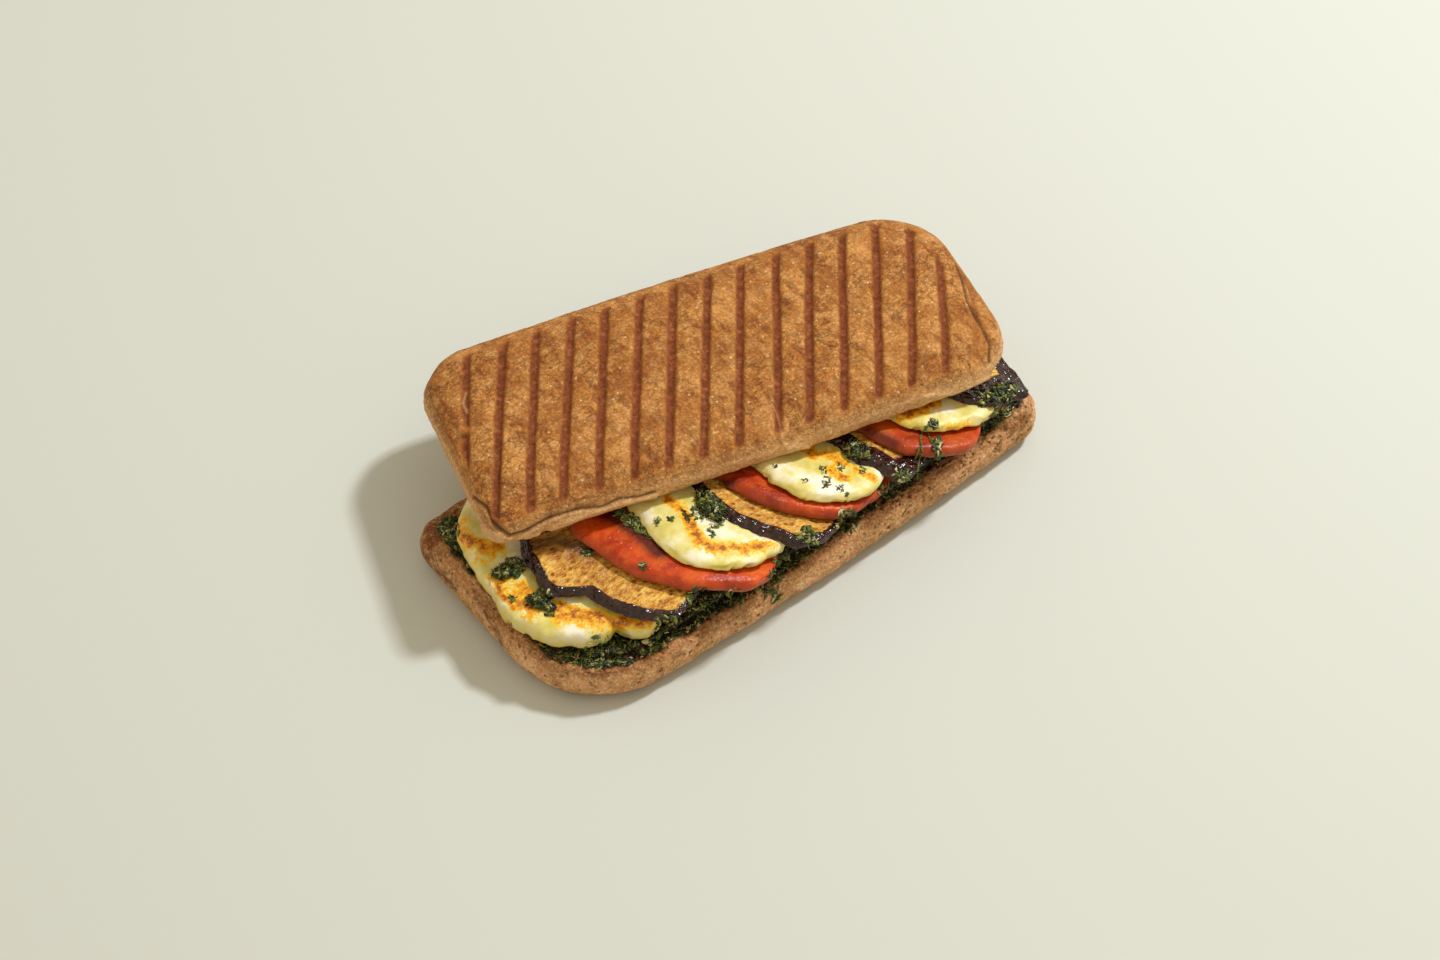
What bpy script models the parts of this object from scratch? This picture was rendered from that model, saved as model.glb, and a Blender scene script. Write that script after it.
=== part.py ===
"""A grilled flatbread sandwich that lies open along its front: a lower bread half spread with green pesto,
one flat and ten leaning slices of halloumi, eggplant and tomato, and an upper bread half with grill marks.

Lengths are in millimetres until a mesh is made. The origin is on the table under the middle of the lower
bread, +X runs along the bread, -Y is the open front and +Z is up."""

import math

import bmesh
import bpy
import numpy as np
from mathutils import Vector, noise
from mathutils.bvhtree import BVHTree

MM = 0.001
GAP = 0.35
ABOVE_ALL = 60.0

BASE_LENGTH = 204.5
BASE_WIDTH = 92.5
# Corner radii: right back, left back, left front, right front.
BASE_CORNERS = (18.0, 8.0, 34.0, 11.0)
BASE_BULGE = 3.4
CRUMB_HEIGHT = 14.4
# Steps of the lower bread from its table side to its crumb: how far inside the outline, and how high.
BASE_STEPS = ((7.0, 0.0), (2.6, 1.6), (0.3, 5.0), (0.0, 8.4), (0.9, 12.4), (2.2, 14.7), (4.6, 15.3),
              (7.2, CRUMB_HEIGHT))

LID_LENGTH = 192.5
LID_WIDTH = 82.3
LID_CORNERS = (25.0, 20.0, 7.0, 22.0)
LID_BULGE = 2.4
LID_CENTRE = (9.5, 22.5, 34.5)
LID_TURN = math.radians(-15.0)
LID_TIP = math.radians(-4.8)
LID_UNDERSIDE = -1.2
# Steps of the upper bread from its marked top to its cut side, with heights from the plane of its rim.
LID_STEPS = ((6.0, 10.8), (2.6, 8.8), (0.6, 5.2), (0.0, 2.2), (0.6, 0.0), (2.4, LID_UNDERSIDE))
LID_CROWN = 2.6
CROWN_REACH = 14.0
LID_ROUGH = 0.5
# Points along each line of the marked faces.
BASE_ROWS = 9
LID_ROWS = 11

MARK_COUNT = 17
MARK_PITCH = 11.48
MARK_WIDTH = 3.4
MARK_DEPTH = 1.3
MARK_TURN = math.radians(66.9)
LID_MARK_SHIFT = -2.5
BASE_MARK_SHIFT = MARK_PITCH / 2
MARK_END = 4.5
PILLOW = 0.45

THICKNESS = {"halloumi": 8.5, "eggplant": 4.5, "tomato": 7.5}
FLOOR = 16.8
FIRST_THICKNESS = 8.0
# The first halloumi lies flat: its middle, its half length and half width, and its turn.
FIRST_SLICE = (-67.5, 1.0, 41.0, 32.0, math.radians(105.0))
FIRST_RAMP = 21.0
# The others lean like roof tiles. Each row: name, kind, middle x and y, half length down the slope,
# half length along it, and the room below it beyond the usual gap.
LEANING = (
    ("eggplant_1", "eggplant", -56.0, -7.5, 31.0, 33.5, 0.0),
    ("tomato_1", "tomato", -34.0, -9.5, 35.5, 37.5, 2.3),
    ("halloumi_2", "halloumi", -22.5, -12.5, 28.0, 34.0, 0.0),
    ("eggplant_2", "eggplant", -2.0, -15.5, 25.0, 33.5, 0.0),
    ("tomato_2", "tomato", 14.0, -12.0, 33.0, 34.5, 0.5),
    ("halloumi_3", "halloumi", 20.5, -11.0, 28.0, 33.5, 0.0),
    ("eggplant_3", "eggplant", 44.0, -15.0, 25.5, 33.0, 0.0),
    ("tomato_3", "tomato", 59.5, -12.5, 30.5, 35.0, 0.0),
    ("halloumi_4", "halloumi", 68.0, -11.5, 30.5, 32.5, 0.0),
    ("eggplant_4", "eggplant", 83.0, -14.5, 21.5, 31.5, 0.0),
)
LEAN = math.radians(29.5)
LEAN_SIDE = math.radians(1.3)
STACK_START = 0.4
SLICE_GAP = 0.7
TALLEST = 35.5
PRESS_BEND = 22.0
SETTLE_SOFTNESS = 3.0
TIP_SOFTNESS = 2.5
SLICE_SIDES = 30
# How quickly a slice's plain oval turns into its true rim, as a power of the way out from its middle.
RIM_REACH = 1.6
# The true rim of each slice: its angle round the slice, in degrees from the way down the slope, and how far
# the rim lies from the middle there, as a share of the plain oval.
RIMS = {
    "halloumi_1": ((0, 1.0), (36, 1.0), (42, 0.955), (57, 0.93), (68, 0.93), (79, 0.95), (88, 1.02),
                   (94, 1.055), (102, 1.045), (108, 1.07), (116, 1.06), (126, 1.02), (136, 0.98), (143, 0.92),
                   (148, 0.87), (150, 0.93), (153, 0.98), (158, 1.01), (165, 1.0), (172, 0.985), (200, 1.0)),
    "eggplant_1": ((125, 1.0), (148, 1.03), (160, 1.05), (170, 1.06), (181, 1.1), (187, 1.08), (192, 1.0),
                   (198, 0.89), (205, 0.78), (214, 0.82), (223, 0.89), (234, 0.95), (245, 1.02), (262, 1.12),
                   (275, 1.08), (300, 1.0)),
    "tomato_1": ((140, 1.0), (164, 1.05), (177, 0.97), (194, 0.957), (211, 0.945), (226, 0.944), (236, 0.976),
                 (248, 0.99), (262, 1.04), (274, 1.08), (288, 1.1), (310, 1.0)),
    "halloumi_2": ((150, 1.0), (165, 1.01), (174, 0.965), (185, 1.01), (196, 1.085), (205, 1.13), (213, 1.16),
                   (221, 1.125), (232, 1.09), (244, 1.045), (257, 1.0), (273, 0.955), (286, 0.97), (300, 1.0)),
    "eggplant_2": ((150, 1.0), (189, 1.03), (202, 1.04), (213, 0.99), (227, 0.99), (239, 1.02), (249, 1.06),
                   (263, 1.04), (290, 1.0)),
    "tomato_2": ((180, 1.0), (222, 0.99), (246, 0.995), (258, 1.013), (285, 1.01), (304, 1.05), (330, 1.0)),
    "halloumi_3": ((180, 1.0), (195, 1.015), (202, 1.07), (212, 1.065), (220, 1.14), (233, 1.1), (248, 1.06),
                   (261, 1.06), (274, 1.03), (288, 0.985), (310, 1.0)),
    "eggplant_3": ((160, 1.0), (197, 0.91), (208, 0.93), (214, 1.02), (226, 0.97), (234, 1.05), (240, 1.16),
                   (248, 1.12), (256, 1.03), (264, 0.95), (272, 0.9), (280, 0.85), (290, 0.82), (305, 0.85),
                   (325, 0.95), (345, 1.0)),
    "tomato_3": ((200, 1.0), (221, 1.035), (229, 1.09), (239, 1.06), (260, 1.055), (275, 1.06), (283, 1.03),
                 (292, 0.99), (302, 0.96), (315, 0.97), (330, 1.0)),
    "halloumi_4": ((190, 1.0), (217, 1.03), (225, 1.05), (234, 1.04), (246, 1.02), (261, 0.99), (273, 1.02),
                   (284, 1.035), (310, 1.0)),
    "eggplant_4": ((20, 0.92), (50, 1.0), (200, 1.0), (230, 0.965), (246, 0.94), (265, 0.92), (286, 0.965),
                   (295, 1.04), (302, 1.0), (309, 0.92), (316, 0.83), (325, 0.76), (338, 0.76), (352, 0.82)),
}

SPREAD_INSET = 6.9
SPREAD_SIDES = 52
MOUND = 2.4
# Dabs of pesto on top of the filling: middle x and y, half length, half width and turn.
DABS = (
    (-90.0, 5.5, 5.8, 2.6, math.radians(-11.0)),
    (-89.3, -11.5, 5.8, 2.0, math.radians(-62.0)),
    (-26.2, -20.0, 6.8, 3.4, math.radians(-90.0)),
    (27.5, -31.5, 4.8, 2.8, math.radians(-81.0)),
    (83.0, -41.0, 6.0, 3.2, math.radians(0.0)),
)
DAB_HEIGHT = 1.8
DAB_SIDES = 14
DAB_CLEARANCE = 2.2

BREAD = ("bread_crust", "#b4814f", 0.85)
CRUMB = ("bread_crust_lower", "#a87848", 0.9)
LOOKS = {
    "halloumi": ("fried_halloumi", "#e6dcae", 0.45),
    "eggplant": ("fried_eggplant", "#4a2c33", 0.4),
    "tomato": ("tomato_flesh", "#b83a26", 0.3),
    "pesto": ("green_pesto", "#2c3a1d", 0.55),
}


def linear(hex_colour):
    """The linear values of an sRGB hex colour."""
    parts = [int(hex_colour[k:k + 2], 16) / 255 for k in (1, 3, 5)]
    return [c / 12.92 if c <= 0.04045 else ((c + 0.055) / 1.055) ** 2.4 for c in parts] + [1.0]


def material(name, hex_colour, roughness):
    made = bpy.data.materials.get(name)
    if made is None:
        made = bpy.data.materials.new(name)
        made.use_nodes = True
        shader = made.node_tree.nodes["Principled BSDF"]
        shader.inputs["Base Color"].default_value = linear(hex_colour)
        shader.inputs["Roughness"].default_value = roughness
        shader.inputs["Metallic"].default_value = 0.0
    return made


def add_object(name, bm, look):
    """Turns a bmesh in millimetres into a closed, smooth object of the scene in metres."""
    bmesh.ops.recalc_face_normals(bm, faces=bm.faces)
    bmesh.ops.scale(bm, vec=(MM, MM, MM), verts=bm.verts)
    mesh = bpy.data.meshes.new(name)
    bm.to_mesh(mesh)
    bm.free()
    mesh.shade_smooth()
    mesh.set_sharp_from_angle(angle=math.radians(50))
    mesh.materials.append(material(*look))
    obj = bpy.data.objects.new(name, mesh)
    bpy.context.scene.collection.objects.link(obj)
    return obj


def uneven(x, y, z, size, seed):
    """Smooth noise between about -1 and 1, whose bumps are size millimetres across."""
    return noise.noise(Vector((x / size + 17.3 * seed, y / size - 5.1 * seed, z / size)))


def smooth_step(value):
    value = min(max(value, 0.0), 1.0)
    return value * value * (3 - 2 * value)


def outside(x, y, length, width, corners, bulge):
    """Signed distance to a rectangle with round corners and bulging long sides, negative inside it."""
    corner = corners[(0 if x > 0 else 1) if y > 0 else (3 if x > 0 else 2)]
    half_width = width / 2 + bulge * (1 - (2 * x / length) ** 2)
    dx = abs(x) - (length / 2 - corner)
    dy = abs(y) - (half_width - corner)
    return math.hypot(max(dx, 0.0), max(dy, 0.0)) + min(max(dx, dy), 0.0) - corner


def reach(start, way, inside, far):
    """How far one can go from a point inside an outline, along way, before leaving it."""
    near = 0.0
    for _ in range(40):
        middle = (near + far) / 2
        if inside(start[0] + way[0] * middle, start[1] + way[1] * middle):
            near = middle
        else:
            far = middle
    return near


def mark_columns(shift, last, with_crowns):
    """Places across the grill marks where the marked face has points: both walls and the floor of each."""
    across = [-last, last]
    for k in range(MARK_COUNT):
        middle = (k - (MARK_COUNT - 1) / 2) * MARK_PITCH + shift
        across += [middle + MARK_WIDTH * part for part in (-0.5, -0.2, 0.2, 0.5)]
        if with_crowns:
            across.append(middle + MARK_PITCH / 2)
    return sorted(s for s in across if abs(s) <= last)


def mark_depth(across, shift, from_edge):
    """How deep a grill mark is here, as a share of its full depth."""
    nearest = (across - shift) / MARK_PITCH
    apart = abs(nearest - round(nearest)) * MARK_PITCH
    if abs(round(nearest)) > (MARK_COUNT - 1) / 2:
        return 0.0
    wall = smooth_step((MARK_WIDTH / 2 - apart) / (MARK_WIDTH * 0.3))
    return wall * smooth_step(from_edge / MARK_END)


def bread_half(size, steps, shift, rows, crown, pillow, rough, seed):
    """One half of the bread, its marked face up: a grid that follows the slanted marks, then one ring for
    each step down the side, and a flat cut face. A step is (inset from the outline, height)."""
    length, width, corners, bulge = size
    inset, shoulder = steps[0]
    along = (math.cos(MARK_TURN), math.sin(MARK_TURN))
    side = (math.sin(MARK_TURN), -math.cos(MARK_TURN))

    def distance(x, y):
        return -outside(x, y, length, width, corners, bulge)

    def inside(x, y):
        return distance(x, y) >= inset

    def middle_of(across):
        """The middle of the line along the marks at this place across them."""
        start = (side[0] * across, side[1] * across)
        if inside(*start):
            return start
        best = max(np.linspace(-width, width, 401), key=lambda t: distance(start[0] + along[0] * t,
                                                                          start[1] + along[1] * t))
        return (start[0] + along[0] * best, start[1] + along[1] * best)

    last = reach((0.0, 0.0), side, inside, length)
    while inside(*middle_of(last + 0.25)):
        last += 0.25
    columns = mark_columns(shift, last, pillow > 0)

    bm = bmesh.new()
    grid = []
    for across in columns:
        start = middle_of(across)
        back = reach(start, along, inside, length)
        front = reach(start, (-along[0], -along[1]), inside, length)
        span = back + front
        edge = min(3.0, span / 8)
        places = [0.0, edge, 2.3 * edge]
        inner = rows - 6
        places += [2.3 * edge + (span - 4.6 * edge) * (k + 1) / (inner + 1) for k in range(inner)]
        places += [span - 2.3 * edge, span - edge, span]
        line = []
        for place in places:
            x = start[0] + along[0] * (place - front)
            y = start[1] + along[1] * (place - front)
            deep = distance(x, y) - inset
            rise = 1 - (1 - min(max(deep, 0.0) / CROWN_REACH, 1.0)) ** 2
            z = shoulder + crown * rise - MARK_DEPTH * mark_depth(across, shift, deep)
            from_mark = abs((across - shift) / MARK_PITCH - round((across - shift) / MARK_PITCH))
            z += pillow * smooth_step(2 * from_mark) * smooth_step(deep / MARK_END)
            z += rough * uneven(x, y, 0.0, 22.0, seed) * smooth_step(deep / MARK_END)
            line.append(bm.verts.new((x, y, z)))
        grid.append(line)
    for left, right in zip(grid, grid[1:]):
        for k in range(rows - 1):
            bm.faces.new((left[k], right[k], right[k + 1], left[k + 1]))

    loop = [line[0] for line in grid]
    loop += grid[-1][1:]
    loop += [line[-1] for line in reversed(grid[:-1])]
    loop += list(reversed(grid[0][1:-1]))
    ring = loop
    for step, (step_in, step_z) in enumerate(steps[1:], 1):
        wide = (length / 2 - step_in) / (length / 2 - inset)
        deep = (width / 2 - step_in) / (width / 2 - inset)
        final = step == len(steps) - 1
        lower = []
        for vert in loop:
            x, y = vert.co.x * wide, vert.co.y * deep
            swell = 1 + 0.008 * uneven(x, y, step_z, 30.0, seed + 1)
            swell += 0.005 * uneven(x, y, step_z, 9.0, seed + 2)
            drop = 0.0 if final else 0.35 * uneven(x, y, step_z, 14.0, seed + 3)
            lower.append(bm.verts.new((x * swell, y * swell, step_z + drop)))
        for k in range(len(loop)):
            following = (k + 1) % len(loop)
            bm.faces.new((ring[k], lower[k], lower[following], ring[following]))
        ring = lower
    bm.faces.new(ring)
    return bm


def lower_bread():
    """The bread under the filling. Its marked face is down and flat between the marks, so that it rests."""
    size = (BASE_LENGTH, BASE_WIDTH, BASE_CORNERS, BASE_BULGE)
    upside_down = [(inset, -height) for inset, height in BASE_STEPS]
    bm = bread_half(size, upside_down, BASE_MARK_SHIFT, BASE_ROWS, 0.0, 0.0, 0.0, 3)
    for vert in bm.verts:
        vert.co.z = -vert.co.z
    return add_object("bread_base", bm, CRUMB)


def upper_bread():
    """The bread on top, turned out over the back and propped up along the open front."""
    size = (LID_LENGTH, LID_WIDTH, LID_CORNERS, LID_BULGE)
    bm = bread_half(size, LID_STEPS, LID_MARK_SHIFT, LID_ROWS, LID_CROWN, PILLOW, LID_ROUGH, 8)
    obj = add_object("bread_lid", bm, BREAD)
    obj.location = [MM * value for value in LID_CENTRE]
    obj.rotation_euler = (LID_TIP, 0.0, LID_TURN)
    return obj


def under_lid(x, y):
    """The height of the space below the upper bread, whose plane goes on past its edges."""
    back = -math.sin(LID_TURN) * (x - LID_CENTRE[0]) + math.cos(LID_TURN) * (y - LID_CENTRE[1])
    return LID_CENTRE[2] + LID_UNDERSIDE - GAP + math.tan(LID_TIP) * back


def first_slice_floor(x, y):
    """The height that the leaning slices rest on: the spread, or the top of the flat first slice."""
    cx, cy, long_half, wide_half, turn = FIRST_SLICE
    px = math.cos(turn) * (x - cx) + math.sin(turn) * (y - cy)
    py = -math.sin(turn) * (x - cx) + math.cos(turn) * (y - cy)
    away = (math.hypot(px / long_half, py / wide_half) - 1.06) * wide_half
    return FLOOR + (FIRST_THICKNESS + SLICE_GAP) * (1 - smooth_step(away / FIRST_RAMP))


def lean_axes():
    """The leaning slices' normal, the way down their slope and the level way along it."""
    side = Vector((math.cos(LEAN_SIDE), math.sin(LEAN_SIDE), 0.0))
    up = Vector((0.0, 0.0, 1.0))
    normal = math.sin(LEAN) * side + math.cos(LEAN) * up
    slope = math.cos(LEAN) * side - math.sin(LEAN) * up
    return normal, slope, normal.cross(slope)


def soft_floor(value, softness):
    """The value where it is above 0, fading smoothly to 0 below it."""
    return softness * float(np.logaddexp(0.0, value / softness))


def stack_ground(x, y):
    """The height in the unpressed stack that settles on the slice or spread below: the underside of the
    first leaning slice, as far down as the spread."""
    normal = lean_axes()[0]
    under = (STACK_START - THICKNESS["eggplant"] / 2 - normal.x * x - normal.y * y) / normal.z
    return FLOOR + soft_floor(under - FLOOR - SETTLE_SOFTNESS, SETTLE_SOFTNESS)


def pressed(x, y, z):
    """Where a point of the stack of flat leaning slices goes once the upper bread has pressed them: the low
    tips flatten on what is below, and the raised tips bend flat under the bread."""
    height = soft_floor(z - stack_ground(x, y), TIP_SOFTNESS)
    share = math.log1p(height / PRESS_BEND) / math.log1p(TALLEST / PRESS_BEND)
    low = first_slice_floor(x, y)
    return (x, y, low + (under_lid(x, y) - low) * share)


def rim_share(name, angle):
    """How far the rim lies from the middle at an angle, as a share of the plain oval."""
    degrees, shares = zip(*RIMS[name])
    return float(np.interp(math.degrees(angle), degrees, shares, period=360))


def slice_mesh(name, place, thickness, long_half, wide_half):
    """A round slice with soft edges. place turns (down the slope, along it, above its middle) to a point."""
    soft = min(thickness * 0.32, 2.6)
    half = thickness / 2
    shoulder = 1 - 1.9 * soft / long_half
    edge = 1 - 0.5 * soft / long_half
    upper = [(0.32, half), (0.62, half), (shoulder, half), (edge, half - 0.45 * soft), (1.0, 0.35 * half)]
    profile = upper + [(share, -height) for share, height in reversed(upper)]
    bm = bmesh.new()
    rings = []
    for share, height in profile:
        ring = []
        for k in range(SLICE_SIDES):
            angle = 2 * math.pi * k / SLICE_SIDES
            wave = 1 + (rim_share(name, angle) - 1) * share ** RIM_REACH
            ring.append(bm.verts.new(place(long_half * share * wave * math.cos(angle),
                                           wide_half * share * wave * math.sin(angle), height)))
        rings.append(ring)
    top = bm.verts.new(place(0.0, 0.0, half))
    bottom = bm.verts.new(place(0.0, 0.0, -half))
    for k in range(SLICE_SIDES):
        following = (k + 1) % SLICE_SIDES
        bm.faces.new((top, rings[0][k], rings[0][following]))
        bm.faces.new((bottom, rings[-1][following], rings[-1][k]))
        for upper, lower in zip(rings, rings[1:]):
            bm.faces.new((upper[k], lower[k], lower[following], upper[following]))
    return bm


def first_slice():
    cx, cy, long_half, wide_half, turn = FIRST_SLICE

    def place(down, along, above):
        x = cx + math.cos(turn) * down - math.sin(turn) * along
        y = cy + math.sin(turn) * down + math.cos(turn) * along
        return (x, y, FLOOR + FIRST_THICKNESS / 2 + above)

    bm = slice_mesh("halloumi_1", place, FIRST_THICKNESS, long_half, wide_half)
    return add_object("halloumi_1", bm, LOOKS["halloumi"])


def leaning_slices():
    normal, slope, level = lean_axes()
    made = []
    depth = STACK_START
    before = None
    for name, kind, x, y, long_half, wide_half, room in LEANING:
        thickness = THICKNESS[kind]
        if before is not None:
            depth += before / 2 + thickness / 2 + SLICE_GAP + room
        before = thickness
        middle = Vector((x, y, (depth - normal.x * x - normal.y * y) / normal.z))

        def place(down, along, above, middle=middle):
            return pressed(*(middle + slope * down + level * along + normal * above))

        bm = slice_mesh(name, place, thickness, long_half, wide_half)
        made.append(add_object(name, bm, LOOKS[kind]))
    return made


def tree_of(objects):
    """A tree of all these objects' faces, in millimetres, for finding what lies above or below a point."""
    points, faces = [], []
    for obj in objects:
        first = len(points)
        points += [vert.co / MM for vert in obj.data.vertices]
        faces += [[first + k for k in face.vertices] for face in obj.data.polygons]
    return BVHTree.FromPolygons(points, faces)


def surface(tree, x, y, start, way, spread):
    """The nearest height that the tree has here and a little to each side, going up or down from start."""
    found = []
    for dx, dy in ((0, 0), (spread, 0), (-spread, 0), (0, spread), (0, -spread)):
        hit = tree.ray_cast(Vector((x + dx, y + dy, start)), Vector((0, 0, way)))[0]
        if hit is not None:
            found.append(hit.z)
    if not found:
        return None
    return min(found) if way > 0 else max(found)


def blob_mesh(sides, shares, point):
    """A closed flat blob: point turns (angle, share of the radius) to its lower and its upper point."""
    bm = bmesh.new()
    lower_rings, upper_rings = [], []
    for share in shares:
        pairs = [point(2 * math.pi * k / sides, share) for k in range(sides)]
        lower_rings.append([bm.verts.new(low) for low, high in pairs])
        upper_rings.append([bm.verts.new(high) for low, high in pairs])
    low, high = point(0.0, 0.0)
    low_middle = bm.verts.new(low)
    high_middle = bm.verts.new(high)
    for k in range(sides):
        following = (k + 1) % sides
        bm.faces.new((low_middle, lower_rings[0][following], lower_rings[0][k]))
        bm.faces.new((high_middle, upper_rings[0][k], upper_rings[0][following]))
        for inner, outer in zip(lower_rings, lower_rings[1:]):
            bm.faces.new((inner[k], inner[following], outer[following], outer[k]))
        for inner, outer in zip(upper_rings, upper_rings[1:]):
            bm.faces.new((inner[k], outer[k], outer[following], inner[following]))
        bm.faces.new((lower_rings[-1][k], lower_rings[-1][following], upper_rings[-1][following],
                      upper_rings[-1][k]))
    return bm


def pesto_spread(bread, slices):
    """The pesto on the lower bread, level under the slices and heaped a little in front of them."""
    bread_tree = tree_of([bread])
    slice_tree = tree_of(slices)

    def point(angle, share):
        way = (math.cos(angle), math.sin(angle))
        size = (BASE_LENGTH, BASE_WIDTH, BASE_CORNERS, BASE_BULGE)
        far = reach((0.0, 0.0), way, lambda x, y: -outside(x, y, *size) >= SPREAD_INSET, BASE_LENGTH)
        far -= 0.9 + 0.9 * uneven(far * way[0], far * way[1], 0.0, 11.0, 20)
        x, y = way[0] * far * share, way[1] * far * share
        low = surface(bread_tree, x, y, ABOVE_ALL, -1, 1.5) + GAP
        front = smooth_step((-30.0 - y) / 8)
        high = FLOOR - 0.7 + MOUND * front + 0.7 * uneven(x, y, 0.0, 5.0, 21)
        above = surface(slice_tree, x, y, 0.0, 1, 3.0)
        if above is not None:
            high = min(high, above - 0.75)
        high -= 0.6 * smooth_step((share - 0.9) / 0.1)
        return (x, y, low), (x, y, max(high, low + 0.4))

    bm = blob_mesh(SPREAD_SIDES, (0.3, 0.55, 0.72, 0.84, 0.93, 1.0), point)
    return add_object("pesto_spread", bm, LOOKS["pesto"])


def pesto_dabs(below):
    """Lumps of pesto that cling to the slices where these show."""
    tree = tree_of(below)
    for number, dab in enumerate(DABS, 1):

        def point(angle, share, number=number, dab=dab):
            cx, cy, long_half, wide_half, turn = dab
            wave = 1 + 0.28 * uneven(2 * math.cos(angle), 2 * math.sin(angle), 0.0, 1.0, 30 + number)
            along = long_half * share * wave * math.cos(angle)
            side = wide_half * share * wave * math.sin(angle)
            x = cx + math.cos(turn) * along - math.sin(turn) * side
            y = cy + math.sin(turn) * along + math.cos(turn) * side
            low = surface(tree, x, y, ABOVE_ALL, -1, DAB_CLEARANCE) + GAP
            high = low + 0.35 + DAB_HEIGHT * (1 - share ** 2) * (1 + 0.5 * uneven(x, y, 0.0, 3.0, 40))
            return (x, y, low), (x, y, high)

        add_object(f"pesto_dab_{number}", blob_mesh(DAB_SIDES, (0.4, 0.75, 1.0), point), LOOKS["pesto"])


def main():
    for obj in list(bpy.data.objects):
        bpy.data.objects.remove(obj)
    bread = lower_bread()
    upper_bread()
    slices = [first_slice()] + leaning_slices()
    spread = pesto_spread(bread, slices)
    pesto_dabs([bread, spread] + slices)


main()
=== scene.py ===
"""A grilled panini that lies open along its front, dressed over its CAD frame: two halves of baked bread,
slices of fried halloumi, fried eggplant and tomato that lean like roof tiles, green pesto and chopped herbs.

Sizes in the constants are millimetres. +X runs along the bread, -Y is the open front and +Z is up."""

import math
import random

import bmesh
import bpy
import numpy as np
from mathutils import Euler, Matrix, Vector, noise
from mathutils.bvhtree import BVHTree
from mathutils.kdtree import KDTree

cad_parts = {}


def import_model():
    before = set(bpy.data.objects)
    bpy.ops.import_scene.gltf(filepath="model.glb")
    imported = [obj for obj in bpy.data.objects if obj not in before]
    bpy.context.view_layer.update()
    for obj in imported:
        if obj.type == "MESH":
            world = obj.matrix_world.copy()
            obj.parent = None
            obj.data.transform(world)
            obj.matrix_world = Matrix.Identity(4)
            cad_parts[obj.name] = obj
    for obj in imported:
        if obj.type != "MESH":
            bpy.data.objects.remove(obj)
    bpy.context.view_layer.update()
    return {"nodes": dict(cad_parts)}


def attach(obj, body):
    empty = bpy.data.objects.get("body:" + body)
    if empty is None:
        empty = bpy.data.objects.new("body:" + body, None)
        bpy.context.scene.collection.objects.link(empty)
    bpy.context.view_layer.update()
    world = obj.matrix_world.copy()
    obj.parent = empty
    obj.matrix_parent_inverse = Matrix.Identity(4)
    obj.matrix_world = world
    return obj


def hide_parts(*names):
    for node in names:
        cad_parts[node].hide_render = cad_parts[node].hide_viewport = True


MM = 0.001

# The camera of the photograph, whose picture is 1440 x 960.
PICTURE = (1440, 960)
CAMERA_PLACE = (-373.1, -469.5, 796.9)
CAMERA_AIM = (-0.7, 7.2, 0.0)
LENS = 72.5

# The two halves of the bread, as the CAD has them: length, width, corner radii (right back, left back, left
# front, right front) and how far the long sides bulge. Their steps say how far inside this outline the side
# wall lies at each height.
BASE = (204.5, 92.5, (18.0, 8.0, 34.0, 11.0), 3.4)
BASE_WALL = ((7.0, 0.0), (2.6, 1.6), (0.3, 5.0), (0.0, 8.4), (0.9, 12.4), (2.2, 14.7))
BASE_LIP = (4.6, 15.3)
BASE_CRUMB = (7.2, 14.4)
BASE_VOXEL = 0.8
LID = (192.5, 82.3, (25.0, 20.0, 7.0, 22.0), 2.4)
LID_STEPS = ((2.4, -1.2), (0.6, 0.0), (0.0, 2.2), (0.6, 5.2), (2.6, 8.8), (6.0, 10.8))
LID_CENTRE = Vector((9.5, 22.5, 34.5))
LID_TURN = math.radians(-15.0)
LID_TIP = math.radians(-4.8)
LID_UNDERSIDE = LID_STEPS[0][1]
LID_TOP = LID_STEPS[-1]
LID_CROWN = 2.6
CROWN_REACH = 14.0
LID_VOXEL = 0.72

MARK_COUNT = 17
MARK_PITCH = 11.48
MARK_WIDTH = 3.5
MARK_DEPTH = 1.35
MARK_TURN = math.radians(66.9)
LID_MARK_SHIFT = -2.5
BASE_MARK_SHIFT = MARK_PITCH / 2
# Where the upper bread's marks begin at its back, and how far they run from there to the front.
MARKS_BACK = 32.0
MARKS_RUN = 74.0
# How far each mark of the upper bread strays from its even place at its back and at its front end, and how
# strongly it is pressed in.
MARK_STRAY_BACK = (2.5, -0.9, -0.1, -0.8, -0.5, -0.6, -0.4, -0.5, -0.2, -0.3,
                   0.4, 0.6, 0.6, 0.8, 1.7, -0.2, -1.0)
MARK_STRAY_FRONT = (3.0, 2.5, 1.0, 0.8, -0.2, -0.2, -0.4, -0.6, -0.8, -0.7,
                    0.8, -0.5, -0.3, -0.1, -0.5, -0.5, -1.6)
MARK_FORCE = (0.2, 0.9, 1, 1, 1, 1, 1, 1, 1, 1, 1, 1, 1, 1, 1, 0.9, 0.35)

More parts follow.
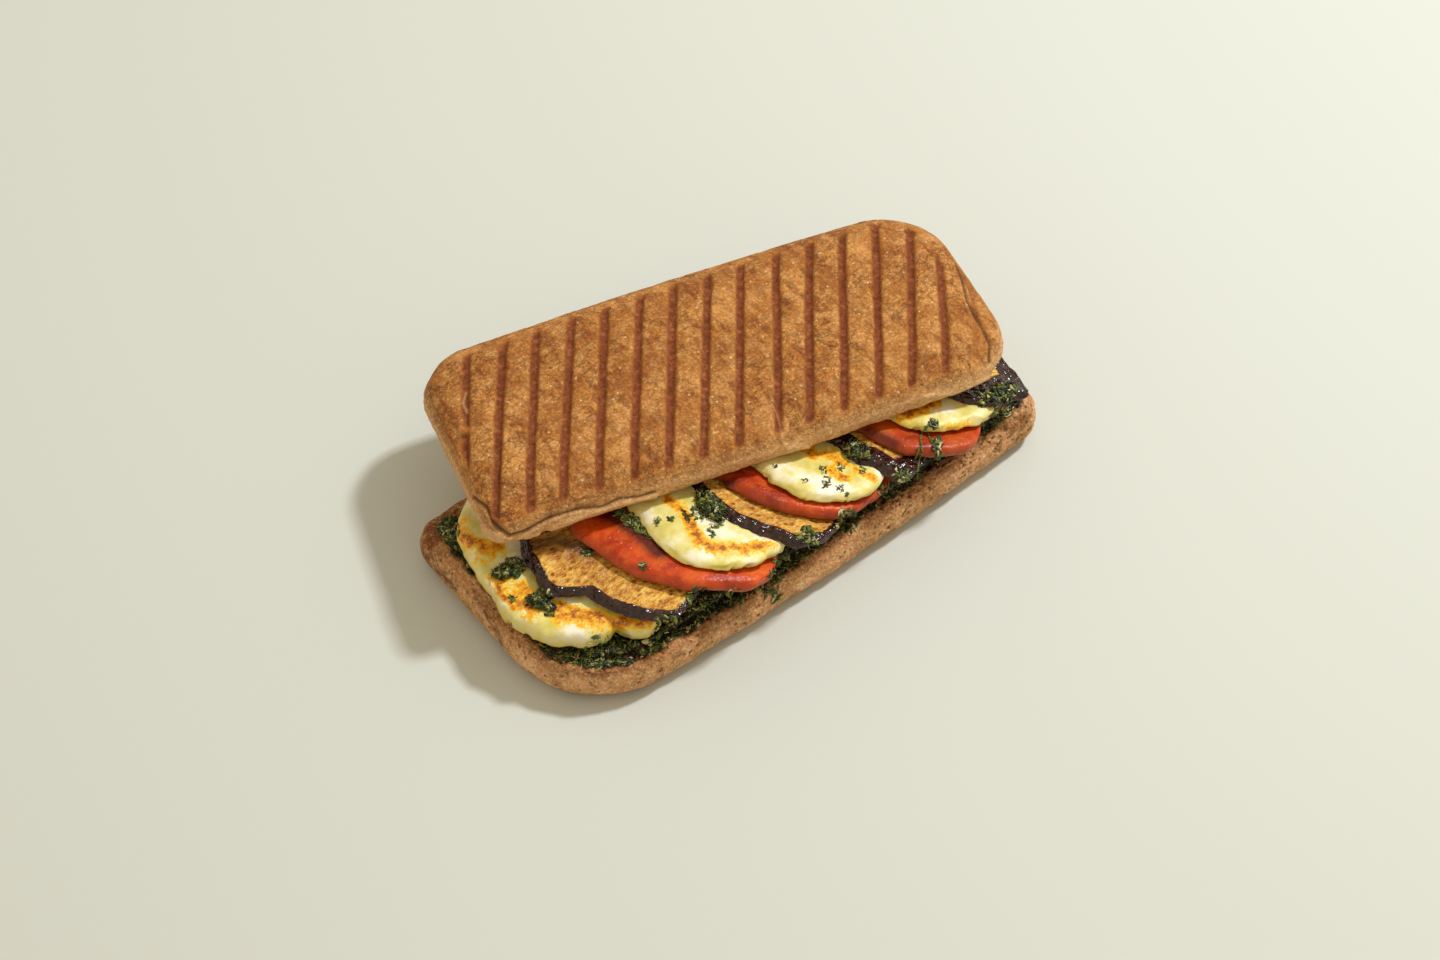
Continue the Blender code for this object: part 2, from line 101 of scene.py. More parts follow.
# Lines that the photograph shows on the upper bread: how deep or high, the half width, and the pixels.
LID_CREASES = (
    (1.1, 0.8, ((472, 497), (486, 507), (491, 521), (501, 530), (510, 536), (525, 532), (552, 517))),
    (0.9, 0.7, ((552, 517), (580, 509), (602, 507), (620, 499), (640, 497), (655, 492))),
    (0.45, 0.6, ((722, 370), (726, 375), (731, 383))),
    (0.45, 0.6, ((746, 374), (757, 381), (767, 395), (770, 404))),
    (0.3, 0.6, ((852, 296), (875, 299), (905, 297))),
    (1.0, 0.9, ((946, 243), (955, 258), (963, 280), (968, 300), (975, 315), (984, 330), (991, 345),
                (990, 362))),
    (0.5, 0.6, ((953, 255), (966, 280), (974, 303))),
    (0.6, 0.8, ((868, 224), (890, 229), (910, 232), (922, 238))),
)
LID_WRINKLES = (
    (0.45, 0.6, ((771, 404), (776, 413), (780, 425), (782, 440), (787, 449))),
    (0.35, 0.6, ((722, 350), (728, 356), (735, 362))),
    (0.5, 0.8, ((466, 394), (463, 404), (467, 413))),
    (0.8, 2.0, ((468, 503), (475, 520), (484, 532), (497, 538))),
    (0.8, 1.3, ((527, 537), (547, 531), (565, 524), (582, 517), (605, 509), (627, 503), (655, 496))),
    (0.7, 1.0, ((788, 449), (802, 447), (816, 447))),
    (0.9, 0.9, ((923, 397), (938, 395), (953, 393), (970, 386), (985, 379), (997, 371))),
)
# Where the lower bread's crumb lies open at its right end, in the same terms.
OPEN_CRUMB = ((1.0, 9.0, ((880, 522), (930, 488), (980, 450), (1032, 412))),)
# Where the lower bread is toasted darkest, and where it is stained with oil near the filling.
BASE_TOASTED = (
    (0.5, 1.5, ((574, 668), (592, 674), (614, 671), (640, 661), (655, 655))),
    (0.4, 3.0, ((536, 641), (551, 655), (566, 664))), (0.4, 2.4, ((700, 634), (730, 620), (745, 612))),
    (0.75, 5.0, ((427, 558), (426, 546), (434, 531), (450, 515))), (0.6, 3.0, ((440, 574), (450, 582))),
    (0.6, 2.2, ((478, 600), (490, 620), (500, 640))), (0.5, 3.0, ((700, 625), (718, 610), (735, 602))),
    (0.6, 3.0, ((1012, 428), (1022, 420))), (0.55, 2.5, ((925, 470), (940, 462))),
)

# The stack of slices, as the CAD has it. The first lies flat: its middle, its half length and half width, and
# its turn. The others have a name, a kind, a middle, half their size down the slope and along it, and the
# room that is left before them.
GAP = 0.35
THICKNESS = {"halloumi": 8.5, "eggplant": 4.5, "tomato": 7.5}
FLOOR = 16.8
FIRST_THICKNESS = 8.0
FIRST_SLICE = (-67.5, 1.0, 41.0, 32.0, math.radians(105.0))
FIRST_RAMP = 21.0
SLICES = (
    ("eggplant_1", "eggplant", -56.0, -7.5, 31.0, 33.5, 0.0),
    ("tomato_1", "tomato", -34.0, -9.5, 35.5, 37.5, 2.3),
    ("halloumi_2", "halloumi", -22.5, -12.5, 28.0, 34.0, 0.0),
    ("eggplant_2", "eggplant", -2.0, -15.5, 25.0, 33.5, 0.0),
    ("tomato_2", "tomato", 14.0, -12.0, 33.0, 34.5, 0.5),
    ("halloumi_3", "halloumi", 20.5, -11.0, 28.0, 33.5, 0.0),
    ("eggplant_3", "eggplant", 44.0, -15.0, 25.5, 33.0, 0.0),
    ("tomato_3", "tomato", 59.5, -12.5, 30.5, 35.0, 0.0),
    ("halloumi_4", "halloumi", 68.0, -11.5, 30.5, 32.5, 0.0),
    ("eggplant_4", "eggplant", 83.0, -14.5, 21.5, 31.5, 0.0),
)
LEAN = math.radians(29.5)
LEAN_SIDE = math.radians(1.3)
STACK_START = 0.4
SLICE_GAP = 0.7
TALLEST = 35.5
PRESS_BEND = 22.0
SETTLE_SOFTNESS = 3.0
TIP_SOFTNESS = 2.5

SLICE_SIDES = 72
# How round the edges are, and the rings on each face of a slice of RING_RADIUS.
SOFT = {"halloumi": 2.0, "eggplant": 0.9, "tomato": 1.0}
FACE_RINGS = (2.0, 2.6, 3.0, 3.2, 3.6, 4.0, 4.4)
RING_RADIUS = 32.0

# The true rim of each slice: its angle round the slice, in degrees from the way down the slope, and how far
# the rim lies from the middle there, as a share of the plain oval.
RIMS = {
    "halloumi_1": ((0, 1.0), (36, 1.0), (42, 0.955), (57, 0.93), (68, 0.93), (79, 0.95), (88, 1.02),
                   (94, 1.055), (102, 1.045), (108, 1.07), (116, 1.06), (126, 1.02), (136, 0.98), (143, 0.92),
                   (148, 0.87), (150, 0.93), (153, 0.98), (158, 1.01), (165, 1.0), (172, 0.985), (200, 1.0)),
    "eggplant_1": ((125, 1.0), (148, 1.03), (160, 1.05), (170, 1.06), (181, 1.1), (187, 1.08), (192, 1.0),
                   (198, 0.89), (205, 0.78), (214, 0.82), (223, 0.89), (234, 0.95), (245, 1.02), (262, 1.12),
                   (275, 1.08), (300, 1.0)),
    "tomato_1": ((140, 1.0), (164, 1.05), (177, 0.97), (194, 0.957), (211, 0.945), (226, 0.944), (236, 0.976),
                 (248, 0.99), (262, 1.04), (274, 1.08), (288, 1.1), (310, 1.0)),
    "halloumi_2": ((150, 1.0), (165, 1.01), (174, 0.965), (185, 1.01), (196, 1.085), (205, 1.13), (213, 1.16),
                   (221, 1.125), (232, 1.09), (244, 1.045), (257, 1.0), (273, 0.955), (286, 0.97),
                   (300, 1.0)),
    "eggplant_2": ((150, 1.0), (189, 1.03), (202, 1.04), (213, 0.99), (227, 0.99), (239, 1.02), (249, 1.06),
                   (263, 1.04), (290, 1.0)),
    "tomato_2": ((180, 1.0), (222, 0.99), (246, 0.995), (258, 1.013), (285, 1.01), (304, 1.05), (330, 1.0)),
    "halloumi_3": ((180, 1.0), (195, 1.015), (202, 1.07), (212, 1.065), (220, 1.14), (233, 1.1), (248, 1.06),
                   (261, 1.06), (274, 1.03), (288, 0.985), (310, 1.0)),
    "eggplant_3": ((160, 1.0), (197, 0.91), (208, 0.93), (214, 1.02), (226, 0.97), (234, 1.05), (240, 1.16),
                   (248, 1.12), (256, 1.03), (264, 0.95), (272, 0.9), (280, 0.85), (290, 0.82), (305, 0.85),
                   (325, 0.95), (345, 1.0)),
    "tomato_3": ((200, 1.0), (221, 1.035), (229, 1.09), (239, 1.06), (260, 1.055), (275, 1.06), (283, 1.03),
                 (292, 0.99), (302, 0.96), (315, 0.97), (330, 1.0)),
    "halloumi_4": ((190, 1.0), (217, 1.03), (225, 1.05), (234, 1.04), (246, 1.02), (261, 0.99), (273, 1.02),
                   (284, 1.035), (310, 1.0)),
    "eggplant_4": ((20, 0.92), (50, 1.0), (200, 1.0), (230, 0.965), (246, 0.94), (265, 0.92), (286, 0.965),
                   (295, 1.04), (302, 1.0), (309, 0.92), (316, 0.83), (325, 0.76), (338, 0.76), (352, 0.82)),
}
# How far the dark skin comes in over the face of each eggplant slice.
SKIN = {"eggplant_1": 1.3, "eggplant_2": 1.9, "eggplant_3": 7.5, "eggplant_4": 12.0}
# Where each slice of cheese is browned: the strength, the half width, and the pixels.
FRIED = {
    "halloumi_1": ((0.95, 3.6, ((458, 528), (466, 538), (478, 545), (496, 549))),
                   (0.7, 1.6, ((476, 560), (484, 562))), (0.8, 4.2, ((500, 580), (512, 594), (526, 608))),
                   (1.0, 1.5, ((494, 578), (503, 596), (514, 608))), (0.75, 3.4, ((520, 588), (545, 604))),
                   (0.8, 4.2, ((548, 608), (572, 617), (602, 622))),
                   (1.0, 1.4, ((560, 604), (585, 612), (606, 616))),
                   (0.85, 3.0, ((614, 622), (630, 624), (646, 622)))),
    "halloumi_2": ((1.0, 2.4, ((668, 499), (680, 508), (690, 522), (698, 538))),
                   (1.0, 2.8, ((698, 540), (712, 547), (724, 549))),
                   (0.9, 3.0, ((734, 547), (752, 547), (772, 545))),
                   (0.7, 2.0, ((712, 552), (745, 553)))),
    "halloumi_3": ((1.0, 3.6, ((812, 452), (828, 455), (842, 462))), (1.0, 2.8, ((832, 470), (846, 478))),
                   (0.65, 2.6, ((856, 470), (872, 478)))),
    "halloumi_4": ((1.0, 3.2, ((905, 413), (920, 408), (935, 402))), (0.5, 2.0, ((940, 428), (970, 424)))),
}
# Herbs that the photograph shows on the filling: pixel x and y, their spread, how many, and their size.
SPRINKLES = (
    (512, 568, 7, 60, 0.9), (496, 574, 3, 14, 0.9), (543, 595, 5, 34, 0.9), (550, 614, 2.6, 10, 0.8),
    (513, 598, 2, 6, 0.8), (587, 552, 3.2, 14, 0.8), (643, 565, 2.6, 12, 0.8), (658, 522, 2.4, 8, 0.8),
    (671, 518, 2, 6, 0.8), (700, 512, 6, 34, 0.75), (716, 521, 5, 28, 0.75), (690, 515, 5, 14, 0.7),
    (712, 532, 3, 8, 0.7), (706, 500, 6, 40, 0.9), (824, 470, 2.8, 16, 0.48), (840, 468, 2.8, 16, 0.48),
    (826, 482, 3.8, 26, 0.5), (805, 480, 2, 8, 0.46), (862, 470, 2.6, 14, 0.55), (846, 495, 2, 7, 0.5),
    (840, 488, 2.8, 12, 0.46), (774, 467, 1.6, 3, 0.7), (900, 474, 5, 34, 0.9), (984, 398, 5, 20, 0.75),
    (995, 418, 5, 40, 0.95), (1008, 398, 4, 18, 0.75), (934, 424, 3, 14, 0.8), (847, 521, 8, 60, 0.9),
    (859, 516, 3, 14, 0.8), (806, 535, 6, 34, 0.9), (812, 545, 4, 14, 0.8), (776, 576, 5, 34, 0.9),
    (772, 592, 6, 24, 0.9), (782, 560, 6, 30, 0.9), (700, 600, 10, 40, 0.9), (735, 598, 7, 20, 0.8),
    (600, 652, 12, 50, 0.9), (665, 628, 9, 40, 0.9), (695, 616, 6, 14, 0.8), (450, 528, 7, 60, 0.9),
    (632, 520, 5, 16, 0.8), (885, 492, 6, 26, 0.9), (902, 477, 4, 24, 0.9),
    (852, 453, 6, 40, 0.8), (1002, 413, 6, 30, 0.9), (720, 507, 4, 20, 0.8),
)
# Pesto on the first tomato, in the shade of the cheese.
SHADED_PESTO = (
    (620, 513, 4, 40, 0.75), (630, 519, 5, 80, 0.75), (640, 526, 5, 80, 0.75), (650, 533, 4, 60, 0.7),
    (660, 541, 3, 36, 0.65), (670, 549, 2, 16, 0.6),
)
# A sprig of herb that hangs over the last tomato: its stems and its leaves, as pixels.
SPRIG_STEMS = (
    ((929, 424), (923, 431), (920, 440), (922, 451), (919, 462), (916, 474)),
    ((925, 426), (928, 434), (930, 441), (934, 446)),
    ((921, 444), (917, 452), (915, 460)),
)
SPRIG_LEAVES = (
    (936, 443, 1.3, 9, 1.5), (937, 449, 1.3, 9, 1.5), (934, 425, 2.2, 10, 1.1), (938, 456, 0.8, 4, 1.0),
)
# Painted shade: where each slice lies in the shade of the slice or the bread above it, and is painted darker
# there. The strength, the half width, and the pixels.
SHADE_STROKES = {
    "tomato_1": ((1.0, 3.6, ((597, 508), (620, 520), (640, 533), (660, 551))),),
    "tomato_2": ((0.8, 2.6, ((720, 484), (732, 482))), (0.3, 9.0, ((735, 490), (770, 503)))),
    "tomato_3": ((0.7, 3.0, ((868, 430), (882, 436), (894, 443))), (0.34, 11.0, ((885, 440), (960, 440)))),
    "eggplant_1": ((0.9, 3.4, ((530, 545), (560, 540), (590, 552))),),
}
# How many leaf bits are tried for on the spread, and how many lie on each dab.
SPREAD_TRIES = 26000
DAB_BITS = 90
SPREAD_VOXEL = 1.0
DAB_VOXEL = 0.45

KEY_PLACE = (0.95, -0.07, 1.3)
KEY_SIZE = 0.16
KEY_ENERGY = 21.3
KEY_COLOUR = (0.9, 0.95, 1.0)
SKY_COLOUR = (1.0, 0.89, 0.69, 1.0)
SKY_STRENGTH = 0.69

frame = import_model()


def linear(hex_colour):
    """The linear values of an sRGB hex colour."""
    parts = [int(hex_colour[k:k + 2], 16) / 255 for k in (1, 3, 5)]
    return [c / 12.92 if c <= 0.04045 else ((c + 0.055) / 1.055) ** 2.4 for c in parts] + [1.0]


def node(tree, kind, inputs=None, ramp=None, **settings):
    """Adds a shader node. settings are its own properties, inputs are values or the sockets to link from, and
    ramp is a colour ramp's list of (place, hex colour)."""
    made = tree.nodes.new(kind)
    for key, value in settings.items():
        setattr(made, key, value)
    for key, value in (inputs or {}).items():
        if isinstance(value, bpy.types.NodeSocket):
            tree.links.new(value, made.inputs[key])
        else:
            made.inputs[key].default_value = value
    if ramp:
        stops = made.color_ramp.elements
        for k, (place, colour) in enumerate(ramp):
            stop = stops[k] if k < len(stops) else stops.new(place)
            stop.position = place
            stop.color = linear(colour)
    return made


def new_material(name):
    """A material with its Principled shader, and the piece's own coordinates in metres."""
    made = bpy.data.materials.new(name)
    made.use_nodes = True
    tree = made.node_tree
    place = node(tree, "ShaderNodeTexCoord").outputs["Object"]
    return made, tree, tree.nodes["Principled BSDF"], place


def uneven(x, y, z, size, seed):
    """Smooth noise between about -1 and 1, whose bumps are size millimetres across."""
    return noise.noise(Vector((x / size + 17.3 * seed, y / size - 5.1 * seed, z / size)))


def smooth_step(value):
    value = min(max(value, 0.0), 1.0)
    return value * value * (3 - 2 * value)


def outside(x, y, shape):
    """Signed distance to a rectangle with round corners and bulging long sides, negative inside it."""
    length, width, corners, bulge = shape
    corner = corners[(0 if x > 0 else 1) if y > 0 else (3 if x > 0 else 2)]
    half_width = width / 2 + bulge * (1 - (2 * x / length) ** 2)
    dx = abs(x) - (length / 2 - corner)
    dy = abs(y) - (half_width - corner)
    return math.hypot(max(dx, 0.0), max(dy, 0.0)) + min(max(dx, dy), 0.0) - corner


def deselect():
    """Leaves nothing selected, because an operator acts on all that is."""
    if bpy.context.mode != "OBJECT":
        bpy.ops.object.mode_set(mode="OBJECT")
    bpy.ops.object.select_all(action="DESELECT")


def work_on(piece):
    deselect()
    piece.select_set(True)
    bpy.context.view_layer.objects.active = piece


def select_parts(piece, kind, wanted):
    """In edit mode, selects the faces or edges that wanted(part) picks, and nothing else."""
    bpy.ops.mesh.select_all(action="DESELECT")
    bpy.ops.mesh.select_mode(type=kind)
    bm = bmesh.from_edit_mesh(piece.data)
    for part in bm.faces if kind == "FACE" else bm.edges:
        part.select_set(bool(wanted(part)))
    bm.select_flush_mode()
    bmesh.update_edit_mesh(piece.data)


def apply_modifier(piece, kind, **settings):
    work_on(piece)
    made = piece.modifiers.new(kind.title(), kind)
    for key, value in settings.items():
        setattr(made, key, value)
    bpy.ops.object.modifier_apply(modifier=made.name)


def move_points(piece, where):
    """Moves every point of the piece to where(x, y, z), in millimetres."""
    for vert in piece.data.vertices:
        x, y, z = vert.co / MM
        vert.co = Vector(where(x, y, z)) * MM


def set_points(piece, places):
    """Gives each point of the piece its new place, in millimetres."""
    for vert, place in zip(piece.data.vertices, places):
        vert.co = place * MM


def write_attributes(piece, **numbers):
    """Gives each point of the piece the named numbers, which its material reads."""
    for name, values in numbers.items():
        made = piece.data.attributes.new(name, "FLOAT", "POINT")
        made.data.foreach_set("value", np.asarray(values, dtype=np.float32))


def finish_piece(piece, material, node_names):
    piece.data.materials.clear()
    piece.data.materials.append(material)
    piece.data.shade_smooth()
    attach(piece, "root")
    if node_names:
        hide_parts(*node_names)
    return piece


# The camera and how a pixel of its picture sees the sandwich

def make_camera():
    place = Vector(CAMERA_PLACE) * MM
    bpy.ops.object.camera_add(location=place)
    camera = bpy.context.object
    camera.name = "photo_camera"
    camera.rotation_euler = (Vector(CAMERA_AIM) * MM - place).to_track_quat("-Z", "Y").to_euler()
    camera.data.lens = LENS
    camera.data.sensor_width = 36.0
    bpy.context.scene.camera = camera


def sight(px, py):
    """The way from the camera through a pixel of the photograph."""
    forward = (Vector(CAMERA_AIM) - Vector(CAMERA_PLACE)).normalized()
    right = forward.cross(Vector((0, 0, 1))).normalized()
    up = right.cross(forward)
    focal = LENS / 36.0 * PICTURE[0]
    return (forward * focal + right * (px - PICTURE[0] / 2) + up * (PICTURE[1] / 2 - py)).normalized()


EYE = Vector(CAMERA_PLACE)


def tree_of(pieces):
    points, faces = [], []
    for piece in pieces:
        first = len(points)
        points += [vert.co / MM for vert in piece.data.vertices]
        faces += [[first + k for k in face.vertices] for face in piece.data.polygons]
    return BVHTree.FromPolygons(points, faces)


def brushed(piece, strokes):
    """How strongly each point of a piece is touched by strokes that the photograph shows on it. A stroke is
    its strength, its half width in millimetres and its pixels."""
    tree = tree_of([piece])
    points = KDTree(len(piece.data.vertices))
    for vert in piece.data.vertices:
        points.insert(vert.co / MM, vert.index)
    points.balance()
    touched = [0.0] * len(piece.data.vertices)
    for strength, width, pixels in strokes:
        for (ax, ay), (bx, by) in zip(pixels, pixels[1:]):
            count = max(1, round(math.hypot(bx - ax, by - ay) / 1.5))
            for k in range(count + 1):
                px = ax + (bx - ax) * k / count
                py = ay + (by - ay) * k / count
                hit = tree.ray_cast(EYE, sight(px, py))[0]
                if hit is None:
                    continue
                for _, index, apart in points.find_range(hit, 2.4 * width):
                    touched[index] = max(touched[index], strength * math.exp(-(apart / width) ** 2))
    return touched


# The bread

def cad_copy(node_name, name, voxel):
    """A copy of a CAD node with its triangles joined and made into small even faces."""
    source = frame["nodes"][node_name]
    piece = bpy.data.objects.new(name, source.data.copy())
    bpy.context.scene.collection.objects.link(piece)
    work_on(piece)
    bpy.ops.object.mode_set(mode="EDIT")
    bpy.ops.mesh.select_all(action="SELECT")
    bpy.ops.mesh.remove_doubles(threshold=0.000001)
    bpy.ops.mesh.normals_make_consistent(inside=False)
    bpy.ops.object.mode_set(mode="OBJECT")
    apply_modifier(piece, "REMESH", mode="VOXEL", voxel_size=voxel * MM)
    apply_modifier(piece, "SMOOTH", factor=0.5, iterations=6)
    return piece


def to_outline(x, y, z, shape, steps):
    """Moves a point of a bread half's side wall onto its true rounded outline for this height."""
    insets = [step[0] for step in steps]
    heights = [step[1] for step in steps]
    wanted = float(np.interp(z, heights, insets))
    here = -outside(x, y, shape)
    way = Vector((outside(x + 0.1, y, shape) - outside(x - 0.1, y, shape),
                  outside(x, y + 0.1, shape) - outside(x, y - 0.1, shape)))
    if way.length < 1e-6:
        return x, y
    way.normalize()
    return x + way.x * (here - wanted), y + way.y * (here - wanted)


def lid_axes():
    """The upper bread's own axes: its marked face looks along the third."""
    return Euler((LID_TIP, 0.0, LID_TURN)).to_matrix()


def mark_here(x, y, shift, deep, fade, strays=False):
    """The share of a grill mark's full depth at a point of a marked face."""
    across = math.sin(MARK_TURN) * x - math.cos(MARK_TURN) * y - shift
    across += 0.2 * uneven(x, y, 0.0, 17.0, 51) + 0.16 * uneven(x, y, 0.0, 3.0, 52)
    number = round(across / MARK_PITCH)
    half_count = (MARK_COUNT - 1) // 2
    if abs(number) > half_count:
        return 0.0
    force = 1.0
    if strays:
        to_front = min(max((MARKS_BACK - y) / MARKS_RUN, 0.0), 1.0)
        strays_here = [back * (1 - to_front) + front * to_front
                       for back, front in zip(MARK_STRAY_BACK, MARK_STRAY_FRONT)]
        middles = [(n - half_count) * MARK_PITCH + stray for n, stray in enumerate(strays_here)]
        nearest = min(range(MARK_COUNT), key=lambda n: abs(across - middles[n]))
        apart = abs(across - middles[nearest])
        force = MARK_FORCE[nearest]
    else:
        apart = abs(across - number * MARK_PITCH)
    here = MARK_WIDTH * (1 + 0.16 * uneven(x, y, 0.0, 9.0, 53))
    wall = smooth_step((here * 0.63 - apart) / (here * 0.5))
    return force * wall * smooth_step((deep - 0.8 * uneven(x, y, 0.0, 8.0, 54)) / fade)


def baked_lid():
    """The upper bread: pressed flat between the grill's ribs, its marks burnt in, its side wall creased."""
    axes = lid_axes()
    back = axes.transposed()
    piece = cad_copy("bread_lid", "bread_lid_baked", LID_VOXEL)

    def own(x, y, z):
        return back @ (Vector((x, y, z)) - LID_CENTRE)

    def world(x, y, z):
        return axes @ Vector((x, y, z)) + LID_CENTRE

    def true_shape(x, y, z):
        x, y, z = own(x, y, z)
        deep = -outside(x, y, LID) - LID_TOP[0]
        if deep > 0 and z > 4:
            rise = 1 - (1 - min(deep / CROWN_REACH, 1.0)) ** 2
            z = LID_TOP[1] + LID_CROWN * rise
        elif deep > -4.5 and z < LID_UNDERSIDE + 1.5:
            z = LID_UNDERSIDE
        else:
            x, y = to_outline(x, y, z, LID, LID_STEPS)
        return world(x, y, z)

    move_points(piece, true_shape)
    apply_modifier(piece, "SMOOTH", factor=0.5, iterations=4)

    marks, walls, moved = [], [], []
    normals = [back @ vert.normal for vert in piece.data.vertices]
    for vert, normal in zip(piece.data.vertices, normals):
        x, y, z = own(*(vert.co / MM))
        deep = -outside(x, y, LID)
        up = smooth_step((normal.z - 0.3) / 0.4)
        front = y < 0
        mark = up * mark_here(x, y, LID_MARK_SHIFT, deep - (1.6 if front else 7.0), 2.6, True)
        across = (math.sin(MARK_TURN) * x - math.cos(MARK_TURN) * y - LID_MARK_SHIFT) / MARK_PITCH
        pillow = smooth_step(2 * abs(across - round(across))) * smooth_step((deep - 5) / 8)
        along = math.cos(MARK_TURN) * x + math.sin(MARK_TURN) * y
        dents = uneven(across * 9, along, 0.0, 7.0, 55)
        height = -MARK_DEPTH * mark
        height += up * (0.4 * pillow * (1 + 0.9 * dents) + 0.3 * uneven(x, y, 0, 24.0, 56))
        height += up * 0.16 * uneven(x, y, 0.0, 4.0, 57) + 0.09 * uneven(x, y, z, 1.7, 58)
        wall = 1 - smooth_step((normal.z - 0.15) / 0.55)
        height += wall * (0.4 * uneven(x, y, 2.0 * z, 8.0, 62) + 0.25 * uneven(x, y, 2 * z, 2.6, 63))
        marks.append(mark)
        walls.append(wall)
        moved.append(world(x + normal.x * height, y + normal.y * height, z + normal.z * height))
    set_points(piece, moved)
    creases = brushed(piece, LID_CREASES)
    wrinkles = brushed(piece, LID_WRINKLES)
    set_points(piece, [vert.co / MM + vert.normal * (wrinkle - crease)
                       for vert, wrinkle, crease in zip(piece.data.vertices, wrinkles, creases)])
    write_attributes(piece, mark=marks, wall=walls, crease=creases, wrinkle=wrinkles)
    return piece


def baked_base():
    """The lower bread: a round side wall whose crumb lies open at the right, and a toasted rim."""
    piece = cad_copy("bread_base", "bread_base_baked", BASE_VOXEL)

    def true_shape(x, y, z):
        deep = -outside(x, y, BASE)
        if deep > BASE_LIP[0] and z > 12:
            z = float(np.interp(deep, (BASE_LIP[0], BASE_CRUMB[0]), (BASE_LIP[1], BASE_CRUMB[1])))
        elif z < 14.9 and not (deep > 5.5 and z < 2):
            x, y = to_outline(x, y, z, BASE, BASE_WALL)
        return x, y, z

    move_points(piece, true_shape)
    apply_modifier(piece, "SMOOTH", factor=0.5, iterations=4)
    opened = brushed(piece, OPEN_CRUMB)
    darkened = brushed(piece, BASE_TOASTED)
    rims, toasts, pits, marks, moved = [], [], [], [], []
    for vert, crumb, dark in zip(piece.data.vertices, opened, darkened):
        x, y, z = vert.co / MM
        normal = vert.normal
        deep = -outside(x, y, BASE)
        up = smooth_step((normal.z - 0.4) / 0.4)
        under = smooth_step((-normal.z - 0.6) / 0.3)
        wall = 1 - max(up, under)
        height = wall * (0.5 * uneven(x, y, 1.6 * z, 12.0, 70) + 0.34 * uneven(x, y, 1.6 * z, 4.0, 71))
        height += up * (0.45 * uneven(x, y, 0, 6.0, 72) + 0.4 * uneven(x, y, 0.0, 2.2, 73))
        crumb *= smooth_step(0.75 + 2.2 * uneven(x, y, z, 5.0, 74))
        cell = noise.voronoi(Vector((x, y, 1.2 * z)) / 2.1)[0][0]
        small = noise.voronoi(Vector((x + 40, y, 1.2 * z)) / 1.3)[0][0]
        pit = max(crumb * smooth_step((0.42 - cell) / 0.22), 0.5 * wall * smooth_step((0.2 - small) / 0.12))
        height = (height - 1.3 * pit) * (1 - under)
        rims.append(up * smooth_step((4.9 - deep) / 2) + (1 - up) * wall * smooth_step((z - 11.5) / 3))
        near = (deep - pesto_edge(x, y) + 1.6 + 1.2 * uneven(x, y, 0.0, 3.5, 75)) / 1.6
        toasts.append(max(up * smooth_step(near), dark))
        pits.append(pit)
        marks.append(under * mark_here(x, y, BASE_MARK_SHIFT, deep - 7.0, 4.0))
        moved.append(vert.co / MM + normal * height)
    set_points(piece, moved)
    write_attributes(piece, rim=rims, toast=toasts, pit=pits, mark=marks)
    return piece


# The slices

def under_lid(x, y):
    back = -math.sin(LID_TURN) * (x - LID_CENTRE[0]) + math.cos(LID_TURN) * (y - LID_CENTRE[1])
    return LID_CENTRE[2] + LID_UNDERSIDE - GAP + math.tan(LID_TIP) * back


def first_slice_floor(x, y):
    cx, cy, long_half, wide_half, turn = FIRST_SLICE
    px = math.cos(turn) * (x - cx) + math.sin(turn) * (y - cy)
    py = -math.sin(turn) * (x - cx) + math.cos(turn) * (y - cy)
    away = (math.hypot(px / long_half, py / wide_half) - 1.06) * wide_half
    return FLOOR + (FIRST_THICKNESS + SLICE_GAP) * (1 - smooth_step(away / FIRST_RAMP))


def lean_axes():
    """The leaning slices' normal, the way down their slope and the level way along it."""
    side = Vector((math.cos(LEAN_SIDE), math.sin(LEAN_SIDE), 0.0))
    up = Vector((0.0, 0.0, 1.0))
    normal = math.sin(LEAN) * side + math.cos(LEAN) * up
    slope = math.cos(LEAN) * side - math.sin(LEAN) * up
    return normal, slope, normal.cross(slope)


NORMAL, SLOPE, LEVEL = lean_axes()


def soft_floor(value, softness):
    """The value where it is above 0, fading smoothly to 0 below it."""
    share = value / softness
    return value if share > 30 else softness * math.log1p(math.exp(share))


def stack_ground(x, y):
    under = (STACK_START - THICKNESS["eggplant"] / 2 - NORMAL.x * x - NORMAL.y * y) / NORMAL.z
    return FLOOR + soft_floor(under - FLOOR - SETTLE_SOFTNESS, SETTLE_SOFTNESS)


def pressed(x, y, z):
    """Where a point of the stack of flat leaning slices goes once the upper bread has pressed them."""
    height = soft_floor(z - stack_ground(x, y), TIP_SOFTNESS)
    share = math.log1p(height / PRESS_BEND) / math.log1p(TALLEST / PRESS_BEND)
    low = first_slice_floor(x, y)
    return Vector((x, y, low + (under_lid(x, y) - low) * share))


